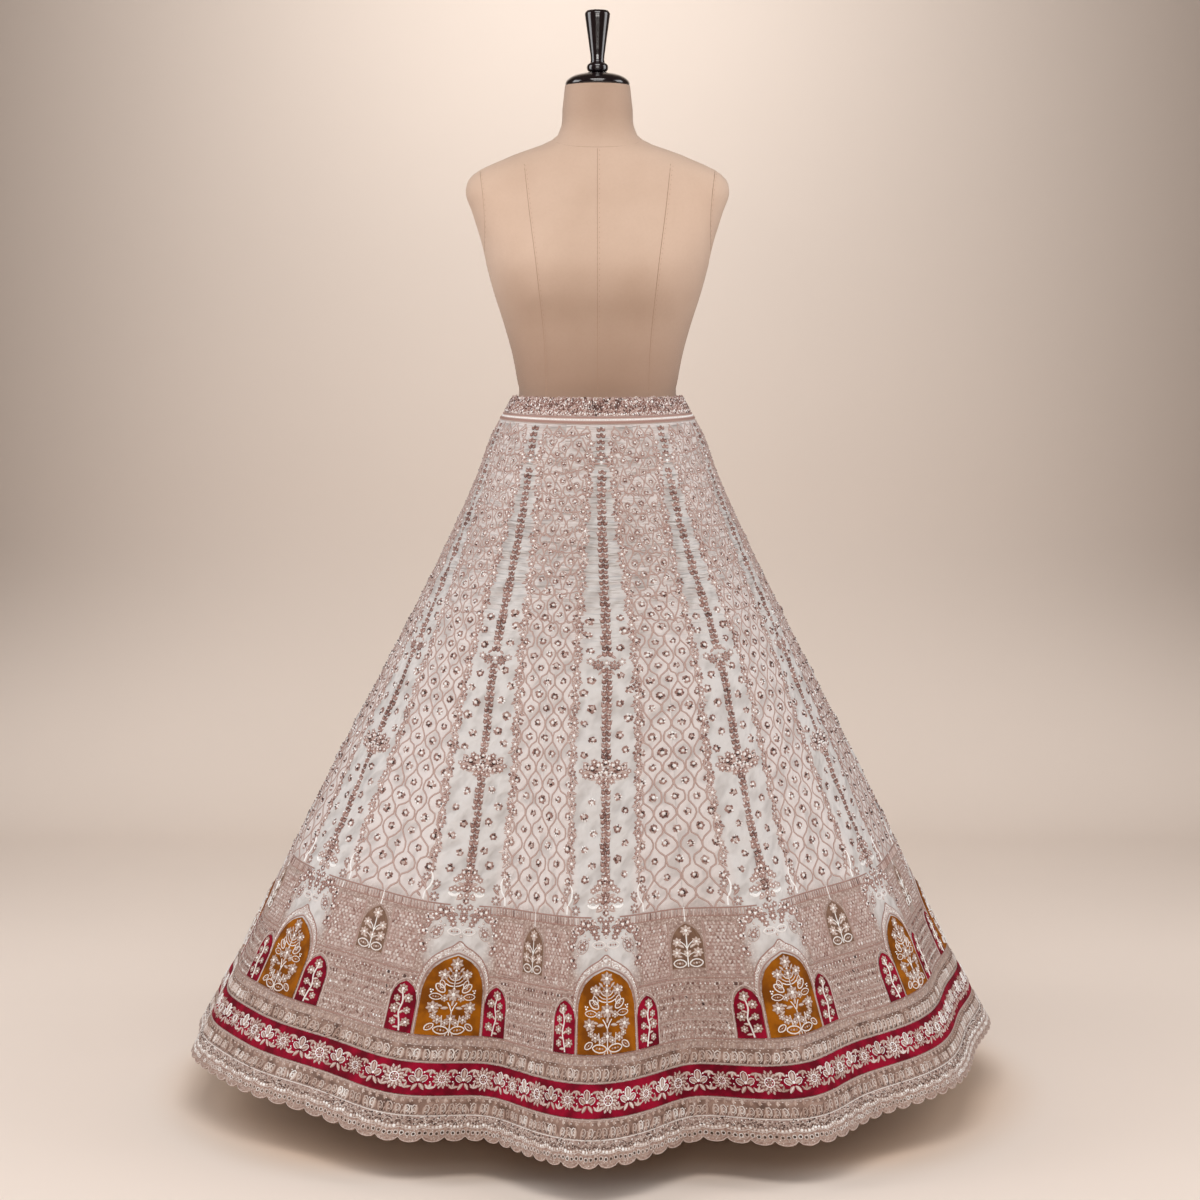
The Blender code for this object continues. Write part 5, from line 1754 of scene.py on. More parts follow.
@dataclass
class StripeWork:
    """Needlework of the plain stripes: centre chain, crown, cross, clusters, vase, sprigs and borders."""
    chain_pitch: float = 0.0083
    chain_top: float = 0.007
    chain_foot: float = 0.672
    sprig_levels: tuple[float, ...] = tuple(0.275 + 0.0212 * step for step in range(19))
    border_pitch: float = 0.009

    def build(self) -> None:
        """Lay the stripe's work, the same on every kali."""
        rose = ROSE_WORK.make()
        for name, steps in (("stripe_chains", (self._chain,)),
                            ("stripe_flowers", (self._crown, self._cross, self._wide_group, self._vase)),
                            ("stripe_sprigs", (self._sprigs,)),
                            ("stripe_borders_right", (partial(self._border, side=1),)),
                            ("stripe_borders_left", (partial(self._border, side=-1),))):
            filled(Basket(name, rose), *steps)

    def _chain(self, basket: Basket) -> None:
        """A rope of round beads between pairs of slanted leaves, with white beads at every step that paint
        its highlights.
        """
        link = arranged(
            (bead(0.0037, 0.0018, 6, tint=0.56, rim_tint=0.15), -3.4, 0.4),
            (bead(0.0037, 0.0018, 6, tint=0.48, rim_tint=0.13), 3.4, 1),
            (bead(0.0028, 0.0023, 5, tint=0.42, rim_tint=0.12), 0.2, 4.4),
            (leaf(0.0066, 0.0034, 0.0011, 2, 0.2, 0.16, 0.4), -3, -0.6, 0.8),
            (leaf(0.0066, 0.0034, 0.0011, 2, -0.2, 0.16, 0.4), 3, -0.6, -0.8),
            # Two white beads: painted highlights on the link.
            (bead(0.0014, 0.0025, 5, tint=1.0, rim_tint=0.8), 4.6, 4.4),
            (bead(0.0012, 0.0026, 5, tint=1.0, rim_tint=0.8), -2.2, 5.6),
            (bead(0.0012, 0.0026, 4, tint=0.0, rim_tint=0.0), -4.4, 3.6))
        levels = np.arange(self.chain_top, self.chain_foot, self.chain_pitch / SLANT)
        for middle, reach in ((CROSS_V, 0.008), (GROUP_V - 0.002, 0.013), (CROWN_V, 0.01)):
            levels = levels[np.abs(levels - middle) > reach]
        places = np.array([(kali, v, 0, 1, 1) for kali in range(KALIS) for v in levels])
        count = len(places)
        places[:, 0] += RANDOM.normal(0, 0.0005, count) / DRAPE.width(places[:, 1])
        places[:, 2] = RANDOM.normal(0, 0.16, count)
        sizes = np.interp(places[:, 1], (0.0, 0.12, 0.35, 0.69), (0.68, 0.8, 0.94, 0.94))
        places[:, 3] = sizes * RANDOM.uniform(0.9, 1.1, count)
        places[:, 4] = np.where(RANDOM.random(count) < 0.5, -1, 1)
        basket.add(link.laid(places, 0.07))

    @staticmethod
    def _crown(basket: Basket) -> None:
        """Three flowers over two wide leaves, just under the waist."""
        flower = rosette(6, 0.0056, 0.0032, 0.0012, 0.0018, tint=0.16)
        wide = leaf(0.014, 0.0036, 0.001, 5, 0.15, tint=0.34, crest=0.28)
        crown = arranged(
            (flower, 0, 8.5), (flower, -8.8, 5), (flower, 8.8, 5), (wide, 1, -1, -1.45),
            wide.moved(-0.001, -0.001, turn=1.45, flip=True),
            (bead(0.0018, 0.0014, 6, tint=0.98, shine=0.5), 0, 1.2))
        basket.add(crown.laid(round_kalis(v=CROWN_V), 0.03))

    @staticmethod
    def _cross(basket: Basket) -> None:
        """Two round flowers either side of the chain."""
        for work, x, v, turn, stray in (
                (rosette(8, 0.008, 0.0046, 0.0016, 0.0028, tint=0.08, heart_tint=0.42), 0.0102, CROSS_V, 0,
                 0.04),
                (rosette(6, 0.0052, 0.0028, 0.001, 0.0018, tint=0.36, heart_tint=0.98), 0, 0.342, 0, 0.03),
                (leaf(0.009, 0.003, 0.0009, 3, 0.2, tint=0.4, crest=0.2), 0.004, 0.353, -2.2, 0.03),
                (rosette(6, 0.0056, 0.0034, 0.0012, 0.002, tint=0.26, heart_tint=1.0), 0.0195, 0.34, 0, 0.04),
                (leaf(0.0085, 0.0036, 0.001, 3, -0.2, tint=0.28, crest=0.34), 0.012, 0.336, 0.7, 0.04)):
            basket.add(work.laid(round_kalis(x / DRAPE.width(v), v, turn, both=x > 0), stray))

    @staticmethod
    def _wide_group(basket: Basket) -> None:
        """The broad group two thirds down: a bud, two round flowers, wide leaves and drooping buds."""
        balls = [CLUSTERS[number].moved(size=0.0072) for number in (0, 3, 5, 7)]
        small = rosette(6, 0.0064, 0.0044, 0.0013, 0.0022, tint=0.26, heart_tint=1.0, inner=0.22, crest=0.34)
        frond = leaf(0.0135, 0.0056, 0.0011, 4, 0.25, tint=0.4, crest=0.24)
        web = cord(curve([(0.0005, -0.001), (0.008, 0.001), (0.016, -0.0025), (0.025, 0.001)], 9), 0.0022,
                   0.0009, 0.56, 0.2)
        half = arranged(
            (balls[0], 11, 11), (balls[1], 19.8, 6.2), (balls[3], 28.5, 8.8, 0, 0.85), (balls[2], 12.8, -3),
            (balls[0], 21.2, -6.4, 0, 0.85), (web, 0, 0), (web, 1, -6, -0.15), (frond, 3, -9, -1.9),
            (frond, 4, 4, -1.25), (frond, 23, 2, -1.7), (small, 30, -4), (small, 17, 16.5, 0, 0.85),
            (frond, 24, 11, -0.9, 0.8), (small, 9, -13, 0, 0.9), (small, 36.5, 2, 0, 0.7), mirror=True)
        group = Work.joined([half, arranged(
            (balls[1], 0, 16, 0, 0.9), (balls[2], 0, 1.5), (small, 0, -10), (balls[3], 0, -18, 0, 0.7))])
        basket.add(group.laid(round_kalis(v=GROUP_V, size=0.9), 0.03))

    @staticmethod
    def _vase(basket: Basket) -> None:
        """The group that ends the chain: a dark bud, side flowers and two pale bowls over the border."""
        balls = [CLUSTERS[number].moved(size=0.007) for number in (1, 2, 4, 6)]
        small = rosette(6, 0.0062, 0.0044, 0.0013, 0.0022, tint=0.26, heart_tint=1.0, inner=0.22, crest=0.34)
        bowl = Work.joined([
            cord(arc(0.0084, 0.0062, 195, 345, 9), 0.0028, 0.0013, 0.98, 0.02),
            cord(arc(0.0056, 0.004, 200, 340, 7), 0.0016, 0.0009, 0.9, 0.1),
            *(small.moved(x, 0.0035, size=0.72) for x in (-0.005, 0.005)), small.moved(0, 0.0062, size=0.7)])
        frond = leaf(0.0115, 0.0054, 0.0011, 4, 0.2, tint=0.4, crest=0.24)
        half = arranged(
            (balls[0], 7.8, 26.2, 0, 0.85), (small, 12.5, 19), (small, 19, 14.5, 0, 0.8), (bowl, 19.2, -4),
            (frond, 5, 6, -1.1, 0.9), (frond, 4, -12, -1.7), (small, 9.2, 2, 0, 0.8),
            (small, 9.8, -10, 0, 0.8), mirror=True)
        vase = Work.joined([half, arranged(
            (balls[1], 0, 32), (small, 0, 21.5), (small, 0, 12, 0, 0.9), (balls[3], 0, 1, 0, 0.85),
            (small, 0, -8.5, 0, 0.8), (balls[0], 0, -17.5, 0, 0.75))])
        basket.add(vase.laid(round_kalis(v=VASE_V, size=0.92), 0.03))

    def _sprigs(self, basket: Basket) -> None:
        """Sequin clusters zigzagging down the plain cloth on both sides of the chain."""
        rows = []
        for number, v in enumerate(self.sprig_levels):
            if abs(v - CROSS_V) < 0.012 or abs(v - GROUP_V) < 0.026 or v > 0.648:
                continue
            wide = 0.0175 if number % 2 == 0 else 0.0285
            room = (stripe_half(v) * DRAPE.width(v)) - 0.006
            for kali in range(KALIS):
                for side in (-1, 1):
                    x = side * min(wide + (0.0 if side > 0 else 0.0006), room)
                    rows.append((kali + x / DRAPE.width(v), v + (0.0 if side > 0 else 0.006), 0, 0.0062, 1))
        places = np.array(rows, float)
        places[:, 0] += RANDOM.normal(0, 0.0035, len(places))
        places[:, 1] += RANDOM.normal(0, 0.0012, len(places))
        places[:, 2] = RANDOM.uniform(-3, 3, len(places))
        places[:, 3] *= RANDOM.uniform(0.88, 1.12, len(places))
        for work in scatter(CLUSTERS, places):
            basket.add(work)

    def _border(self, basket: Basket, side: int) -> None:
        """A garland along the stripe's edge: flower, leaf pair, flower, ending in a spray on a pale stem."""
        levels = np.arange(0.024, 0.634, self.border_pitch / SLANT)
        wave = 0.0022 * np.sin(np.arange(len(levels)) * TAU / 4.0)
        across = side * (stripe_half(levels) + (0.0045 + wave) / DRAPE.width(levels))
        flower = rosette(5, 0.006, 0.0046, 0.0012, 0.002, tint=0.24, heart_tint=1.0, inner=0.24, crest=0.42)
        pair = arranged(
            (leaf(0.008, 0.0042, 0.0011, 2, 0.2, 0.28, 0.36), 0, 0, 2.6),
            (leaf(0.008, 0.0042, 0.0011, 2, -0.2, 0.28, 0.36), 0, 0, -2.2),
            (bead(0.0024, 0.0014, 5, tint=0.66, rim_tint=0.28), 3, 1),
            (bead(0.0022, 0.0014, 5, tint=0.44, rim_tint=0.2), -2.2, 1.8),
            (bead(0.0013, 0.0018, 5, tint=1.0, rim_tint=0.8), 0.2, 2),
            (bead(0.0012, 0.0017, 4, tint=0.0), 2, -1.8))
        for first, work in ((0, flower), (1, pair)):
            chosen = np.arange(first, len(levels), 2)
            places = np.array([(kali + across[row], levels[row], 0, 1, side)
                               for kali in range(KALIS) for row in chosen])
            places[:, 2] = RANDOM.normal(0, 0.25, len(places))
            sizes = np.interp(places[:, 1], (0, 0.2, 0.69), (0.72, 0.95, 1.1))
            places[:, 3] = RANDOM.uniform(0.88, 1.12, len(places)) * sizes
            basket.add(work.laid(places, 0.08))
        stem = curve([(0.0015, 0.04), (-0.002, 0.03), (-0.0005, 0.02), (0.0048, 0.011), (0.0058, 0.0)], 16)
        petal = rosette(7, 0.0072, 0.0038, 0.0014, 0.0023, tint=0.12, heart_tint=0.9)
        spray = arranged(
            cord(stem, 0.0025, 0.0012, 0.98, 0.02), (petal, -8.5, 6), (petal, -8.2, 24, 0, 0.85),
            (petal, 6.8, 31, 0, 0.9), (petal, 2, 44, 0, 0.85),
            (leaf(0.012, 0.0042, 0.0011, 4, 0.2, 0.3, 0.3), 5, 15, -0.4),
            (leaf(0.011, 0.004, 0.0011, 4, -0.2, 0.26, 0.3), -4, 14, 0.7),
            (leaf(0.01, 0.0038, 0.0011, 4, 0.2, 0.3, 0.3), 10, 3, -0.7), (petal, 13, 19, 0, 0.7))
        basket.add(spray.laid(np.array([(kali + side * 0.222, 0.688, 0, 1, side) for kali in range(KALIS)]),
                              0.03))


ARCH_SHAPE = ((1.0, 0.0), (1.0, 0.3), (1.0, 0.56), (0.93, 0.7), (0.76, 0.83), (0.48, 0.925), (0.2, 0.975),
              (0.0, 1.0))
NICHE_SHAPE = ((1.0, 0.0), (1.0, 0.35), (1.0, 0.64), (0.86, 0.8), (0.58, 0.91), (0.28, 0.97), (0.0, 1.0))


def arch_edge(across: Array, shape: Sequence[tuple[float, float]]) -> Array:
    """Height of an arch's outline over each place across it, both as shares."""
    rows = sorted((x, y) for x, y in shape if not (x == 1.0 and y < 0.5))
    return np.interp(np.abs(across), [x for x, _ in rows], [y for _, y in rows])


MAROON = (srgb(96, 0, 22), srgb(152, 4, 42))


def arch_grid(middle: float, half_u: float, foot_v: float, height_v: float,
              shape: Sequence[tuple[float, float]], size: tuple[int, int]) -> tuple[Array, ...]:
    """A grid over an arch, its rows running down from the outline to the foot.

    Args:
        middle, half_u: u of its centre line, and its half width.
        foot_v, height_v: v of its foot, and its height.
        shape: its outline.
        size: rows and columns.
    Returns:
        The share across and the share of the height, then u and v of every point.
    """
    rows, columns = size
    across = -np.cos(np.linspace(0, math.pi, columns))
    share = np.linspace(1, 0, rows)[:, None] * np.ones(columns)
    u = middle + half_u * across[None, :] * np.ones((rows, 1))
    return across, share, u, foot_v - height_v * share * arch_edge(across, shape)[None, :]


@dataclass
class ArchWork:
    """Velvet arches and niches with their cord edges and their flower sprays."""
    arch_columns: int = 33
    arch_rows: int = 26
    niche_columns: int = 17
    niche_rows: int = 18

    def build(self) -> None:
        """Replace the patches and lay the cords and sprays on them."""
        mustard = Velvet("mustard_velvet_nap", srgb(114, 60, 0), srgb(160, 92, 3)).make()
        maroon = Velvet("maroon_velvet_nap", *MAROON).make()
        for kali in range(KALIS):
            number = f"{kali + 1:02d}"
            self._patch(f"mustard_patch_{number}", f"mustard_arch_{number}", kali, ARCH_HALF_U,
                        ARCH_HEIGHT_V, ARCH_SHAPE, (self.arch_rows, self.arch_columns), mustard,
                        "mustard_velvet", number)
            for side, sign in (("left", -1), ("right", 1)):
                self._patch(f"maroon_patch_{side}_{number}", f"niche_{side}_{number}",
                            kali + sign * NICHE_MIDDLE_U, NICHE_HALF_U, NICHE_HEIGHT_V, NICHE_SHAPE,
                            (self.niche_rows, self.niche_columns), maroon, "maroon_velvet", number)
        LOG.info("velvet patches: 12 arches and 24 niches")
        cream = CREAM_WORK.make()
        arches = Basket("arch_sprays", cream)
        arches.add(self._arch_spray().laid(round_kalis(v=ARCH_FOOT_V), 0.02), Layers.ON_PATCH)
        arches.put_on()
        niches = Basket("niche_sprays", cream)
        feet = round_kalis(NICHE_MIDDLE_U, ARCH_FOOT_V, both=True)
        niches.add(self._niche_spray().laid(feet, 0.03), Layers.ON_PATCH)
        niches.put_on()

    @staticmethod
    def _patch(name: str, node: str, middle: float, half_u: float, height_v: float,
               shape: Sequence[tuple[float, float]], size: tuple[int, int], finish: bpy.types.Material,
               slot: str, number: str) -> None:
        """One velvet patch: columns across and rows from its foot to its own outline."""
        across, share, u, v = arch_grid(middle, half_u, ARCH_FOOT_V, height_v, shape, size)
        edge = np.minimum(np.minimum(1 - np.abs(across), 0.12)[None, :] / 0.12,
                          np.minimum(1 - share, 0.08) / 0.08)
        pile = ON_APPLIQUE - 0.0006 * (1 - np.sqrt(np.clip(edge, 0, 1)))
        points, faces = sheet_mesh(DRAPE.place(u, v, pile), DRAPE.place(u, v, SKIN_GAP), False)
        patch = new_object(name, points, faces, finish, sharp_deg=60)
        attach(patch, ROOT)
        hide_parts(node)
        wide, tall = 2 * half_u * float(DRAPE.width(ARCH_FOOT_V - height_v / 2)), height_v * SLANT
        wide * tall * (0.9 if height_v == ARCH_HEIGHT_V else 0.88)

    @staticmethod
    def _arch_spray() -> Work:
        """A tall spray of flowers and outlined leaves on a stem, drawn from the middle of the arch's foot."""
        flower = rosette(7, 0.0084, 0.0066, 0.0015, 0.0026, tint=0.24, heart_tint=1.0, inner=0.24, crest=0.52)
        small = rosette(6, 0.006, 0.005, 0.0013, 0.0019, tint=0.34, heart_tint=0.95)
        blush = rosette(7, 0.0074, 0.0054, 0.0013, 0.0024, tint=0.22, heart_tint=1.0)
        eye = eye_leaf(0.02, 0.0104, 0.0017, 0.84, 0.42)
        short_eye = eye_leaf(0.0135, 0.0078, 0.0016, 0.84, 0.42)
        sprig = leaf(0.0095, 0.005, 0.0013, 3, 0.15, 0.34, 0.5)
        pearl = bead(0.0014, 0.0013, 6, tint=1.0, shine=0.2)
        half = arranged(
            (eye, 1.2, 6.2, -1.46), (short_eye, 21.5, 15, -2.2, 0.95), (small, 17.2, 21.2),
            (small, 23.5, 26.2, 0, 0.75), (small, 7.2, 17.2, 0, 0.8),
            cord(curve([(0.011, 0.011), (0.0115, 0.018), (0.0122, 0.027)], 6), 0.0014, 0.001, 0.78),
            cord(np.array([[0.0005, 0.033], [0.003, 0.0395], [0.0062, 0.0445]]), 0.0016, 0.0011, 0.86),
            (sprig, 5, 37.2, -1.5), (sprig, 13, 39.2, -1.2, 0.8), (flower, 25.2, 37.8),
            (sprig, 18, 33, -2.1, 0.7), (small, 11.2, 50.5, 0, 0.85), (eye, 14.8, 51.8, -1.52, 0.8),
            (short_eye, 12.2, 58.8, -0.85, 1.15), (short_eye, 14, 64, -0.35, 0.85), (pearl, 29.2, 58),
            (pearl, 30.2, 61.2, 0, 0.8), (pearl, 27.2, 60.8, 0, 0.8),
            *(cord(curve(ends, 6), 0.0016, 0.001, tint, 0.2) for tint, ends in (
                (0.8, [(0.0012, 0.0665), (0.006, 0.0672), (0.0118, 0.07)]),
                (0.66, [(0.0012, 0.0705), (0.006, 0.0716), (0.0108, 0.0752)]),
                (0.72, [(0.001, 0.0745), (0.005, 0.076), (0.0085, 0.08)]))),
            (flower, 15, 82.2, 0, 0.92), (sprig, 6, 86.2, -0.5, 0.8), (pearl, 21.5, 84.2),
            (sprig, 3.5, 3, -2.6, 0.5), mirror=True)
        return Work.joined([half, arranged(
            cord(np.array([[0, 0.0], [0, 0.016], [0, 0.034]]), 0.0015, 0.001, 0.8), (blush, 0, 22.5),
            (flower, 0, 55.5, 0, 1.12), (pearl, 0, 63.2, 0, 1.2), (sprig, 0, 40, 0, 0.9),
            cord(np.array([[0, 0.048], [0, 0.07], [0, 0.094]]), 0.0014, 0.001, 0.8),
            (blush, 0, 81.5, 0, 0.95), (pearl, 0, 88, 0, 1.2), (flower, 0, 97.5, 0, 1.05))])

    @staticmethod
    def _niche_spray() -> Work:
        """A curved pale stem with flowers on alternate sides, drawn from the middle of the niche's foot."""
        stem = curve([(-0.003, 0.001), (-0.0012, 0.012), (0.0022, 0.026), (-0.0006, 0.041), (0.003, 0.056)],
                     16)
        flower = rosette(7, 0.0066, 0.0052, 0.0014, 0.0021, tint=0.26, heart_tint=1.0)
        bud = rosette(6, 0.005, 0.0044, 0.0013, 0.0017, tint=0.3, heart_tint=0.9)
        sprig = leaf(0.0086, 0.004, 0.0012, 3, 0.2, 0.4, 0.46)
        leaves = ((-0.5, 44, 0.9), (1, 34, -1.0), (2, 24, 1.1), (0, 18, -1.2), (-2, 8, 1.2), (-1.8, 5, -1.4),
                  (2.5, 50, -0.8))
        return arranged(
            cord(stem, 0.0022, 0.0014, 0.84, 0.1), (flower, 2, 57), (flower, -7.2, 45.5, 0, 0.95),
            (bud, 8, 43), (flower, 9.4, 29), (bud, -8.2, 29), (flower, -9.2, 13.5, 0, 0.95), (bud, 8.2, 12),
            *((sprig, x, y, turn, 0.9) for x, y, turn in leaves))


@dataclass
class HemBand:
    """The maroon velvet band above the hem, with its flowers."""
    columns: int = 420
    rows: int = 6
    flowers_per_kali: int = 10

    def build(self) -> None:
        """Replace the band and lay its embroidery."""
        u = np.arange(self.columns) * KALIS / self.columns
        across, down = np.meshgrid(u, np.linspace(BAND_TOP_V, BAND_BOTTOM_V, self.rows))
        pile = np.full(across.shape, ON_APPLIQUE)
        pile[[0, -1]] -= 0.0005
        points, faces = sheet_mesh(DRAPE.place(across, down, pile), DRAPE.place(across, down, SKIN_GAP), True)
        maroon = Velvet("maroon_band_nap", *MAROON).make()
        band = new_object("maroon_hem_band", points, faces, maroon, sharp_deg=60)
        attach(band, ROOT)
        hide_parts("hem_band")
        ring = DRAPE.place(u, np.full(self.columns, (BAND_TOP_V + BAND_BOTTOM_V) / 2))
        around = float(np.linalg.norm(ring - np.roll(ring, 1, axis=0), axis=1).sum())
        LOG.info("maroon_hem_band: %.3f m round", around)
        work = Basket("hem_band_flowers", ROSE_WORK.make())
        self._flowers(work)
        work.put_on()

    def _flowers(self, basket: Basket) -> None:
        """Round flowers and leafy ones in turn, with small sprigs above and below between them."""
        middle = (BAND_TOP_V + BAND_BOTTOM_V) / 2
        ring = cord(arc(0.0062, 0.0062, 0, 324, 10), 0.0017, 0.0013, 0.9, 0.08, closed=True)
        tip = leaf(0.005, 0.0046, 0.0014, 2, tint=0.24, crest=0.48).moved(0, 0.0112)
        sun = Work.joined([
            rosette(12, 0.0128, 0.006, 0.0018, 0.0036, tint=0.14, heart_tint=0.3, steps=2, inner=0.5,
                    crest=0.58),
            *(tip.moved(turn=(k + 0.5) * TAU / 12) for k in range(12)), ring,
            *(bead(0.0013, 0.0018, 5, tint=1.0).moved(0.0088 * math.cos(a), 0.0088 * math.sin(a))
              for a in np.arange(12) * TAU / 12 + TAU / 4),
            *(bead(0.0011, 0.0012, 4, tint=0.96).moved(0.0036 * math.cos(a), 0.0036 * math.sin(a))
              for a in np.arange(6) * TAU / 6)])
        petal = leaf(0.0112, 0.0078, 0.0014, 3, 0.0, 0.18, 0.46)
        edge = cord(arc(0.0046, 0.0068, -40, 220, 7) + (0, 0.006), 0.0013, 0.0016, 0.8, 0.16)
        leafy = Work.joined([
            *(part.moved(x, y, turn=turn, size=size) for part in (petal, edge) for x, y, turn, size in (
                (0, 0.001, 0, 1.0), (0.0022, -0.003, -0.95, 0.86), (-0.0022, -0.003, 0.95, 0.86))),
            leaf(0.0104, 0.0056, 0.0013, 3, 0.2, 0.3, 0.44).moved(0.001, -0.006, turn=-2.3),
            leaf(0.0104, 0.0056, 0.0013, 3, -0.2, 0.3, 0.44).moved(-0.001, -0.006, turn=2.3),
            bead(0.0022, 0.0018, 6, 1, 0.98, 0.2).moved(0, -0.001),
            bead(0.0013, 0.0013, 5, tint=0.98).moved(0.007, 0.0085),
            bead(0.0013, 0.0013, 5, tint=0.98).moved(-0.007, 0.0085)])
        small_sun = sun.moved(size=0.78)
        for first, flower in ((0, sun), (1, leafy), (2, small_sun), (3, leafy)):
            places = np.array([(step / self.flowers_per_kali, middle, 0, 1, 1)
                               for step in range(first, KALIS * self.flowers_per_kali, 4)])
            places[:, 2] = RANDOM.normal(0, 0.08, len(places))
            basket.add(flower.laid(places, 0.05), Layers.ON_PATCH)
        blade = leaf(0.008, 0.0044, 0.0012, 2, 0.2, 0.28, 0.46)
        sprig = arranged(*((blade, 0, 0, turn) for turn in (-1.0, 0.0, 1.0)),
                         (bead(0.0011, 0.001, 5, tint=0.95), 0, 9))
        step = (np.arange(KALIS * self.flowers_per_kali) + 0.5) / self.flowers_per_kali
        for v, turn in ((middle + 0.0125 / SLANT, 0.0), (middle - 0.0125 / SLANT, math.pi)):
            basket.add(sprig.laid(rows_of(step, v, turn), 0.08), Layers.ON_PATCH)


@dataclass
class ScallopedEdging:
    """The scalloped edging: cloth pierced by a row of stitched eyelets, with a corded edge."""
    holes_per_scallop: int = 4
    hole_radius: float = 0.0021
    square_reach: float = 0.0034
    pearls_per_scallop: int = 6
    hole_row_v: float = 1 - 0.0105 / SLANT

    def build(self) -> None:
        """Build the four lengths of edging and their cords, rings and pearls."""
        finish = SkirtCloth("edging_cloth", worked=srgb(174, 148, 135)).make()
        for quarter, name in enumerate(("front_right", "back_right", "back_left", "front_left")):
            self._length(quarter, name, finish)
        self._trims()

    @staticmethod
    def edge(u: Array) -> Array:
        """v of the lower edge: |sin| to a low power, eleven times to a kali."""
        step = (np.asarray(u) + 0.5) * SCALLOPS_PER_KALI
        return 1 - SCALLOP_DEPTH_V * (1 - np.abs(np.sin(math.pi * step)) ** SCALLOP_ROUNDNESS)

    def _holes(self, start: float, stop: float) -> tuple[Array, Array]:
        """The (u, v) of each eyelet's middle between two places round the skirt."""
        pitch = 1 / (SCALLOPS_PER_KALI * self.holes_per_scallop)
        u = start + (np.arange(round((stop - start) / pitch)) + 0.5) * pitch
        return u, self.hole_row_v + 0.55 * (self.edge(u) - 1)

    def _length(self, quarter: int, name: str, finish: bpy.types.Material) -> None:
        """A quarter of the edging: a strip above its eyelets, a band of pierced squares, a strip below.

        Each eyelet's square runs from v - a to v + a and has an octagon of eight points cut out of
        it, joined to the eight points of the square's own edge.
        """
        start, stop = 3 * quarter - 0.5, 3 * quarter + 2.5
        u, v = self._holes(start, stop)
        count = len(u)
        pitch = (stop - start) / count
        reach = self.square_reach / SLANT
        edges = np.linspace(start, stop, 2 * count + 1)
        row = np.interp(edges, u, v)
        rows = [np.full(2 * count + 1, EDGING_V), EDGING_V + 0.5 * (row - reach - EDGING_V), row - reach, row,
                row + reach, row + reach + 0.55 * (self.edge(edges) - row - reach), self.edge(edges)]
        grid_u = np.tile(edges, (len(rows), 1))
        grid_v = np.array(rows)
        angle = np.arange(8) * TAU / 8
        width = DRAPE.width(v)[:, None]
        hole_u = u[:, None] + self.hole_radius * np.sin(angle) / width
        hole_v = v[:, None] - self.hole_radius * np.cos(angle) / SLANT
        flat_u = np.concatenate([grid_u.ravel(), hole_u.ravel()])
        flat_v = np.concatenate([grid_v.ravel(), hole_v.ravel()])
        columns, total = 2 * count + 1, grid_u.size
        numbers = np.arange(total).reshape(len(rows), columns)
        middle = np.arange(1, columns, 2)
        corners = ((2, 0), (2, 1), (3, 1), (4, 1), (4, 0), (4, -1), (3, -1), (2, -1))
        square = np.stack([numbers[level, middle + aside] for level, aside in corners], axis=-1)
        hole = total + np.arange(count * 8).reshape(count, 8)
        ring = np.stack([square, hole, np.roll(hole, -1, axis=1), np.roll(square, -1, axis=1)],
                        axis=-1).reshape(-1, 4)
        unused = numbers[3, middle]
        upper = [grid_quads(3, columns), grid_quads(3, columns, first=4 * columns)]
        points_out = DRAPE.place(flat_u, flat_v)
        points_in = DRAPE.place(flat_u, flat_v, -CLOTH)
        front = np.concatenate([*upper, ring])
        size = len(flat_u)
        loop = border_of(numbers)
        rim = rim_quads(loop, loop + size)
        bore = np.stack([hole, np.roll(hole, -1, axis=1), np.roll(hole, -1, axis=1) + size, hole + size],
                        axis=-1).reshape(-1, 4)
        points = np.concatenate([points_out, points_in])
        faces = np.concatenate([front, front[:, ::-1] + size, rim, bore])
        keep = np.ones(len(points), bool)
        keep[np.concatenate([unused, unused + size])] = False
        renumber = np.cumsum(keep) - 1
        piece = new_object(f"scalloped_cloth_{name}", points[keep], renumber[faces], finish, sharp_deg=60)
        local = DRAPE.width(1.0)
        uv = np.tile(np.stack([flat_u * local, flat_v * SLANT], axis=-1), (2, 1))[keep]
        add_uv(piece, uv)
        add_attribute(piece, "blush", np.zeros(len(uv)))
        add_attribute(piece, "worked", np.ones(len(uv)))
        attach(piece, ROOT)
        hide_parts(f"scalloped_edging_{name}")
        ring_line = DRAPE.place(edges, np.full(columns, 0.99))
        LOG.info("%s: %d faces, %d eyelets", piece.name, len(faces), count)

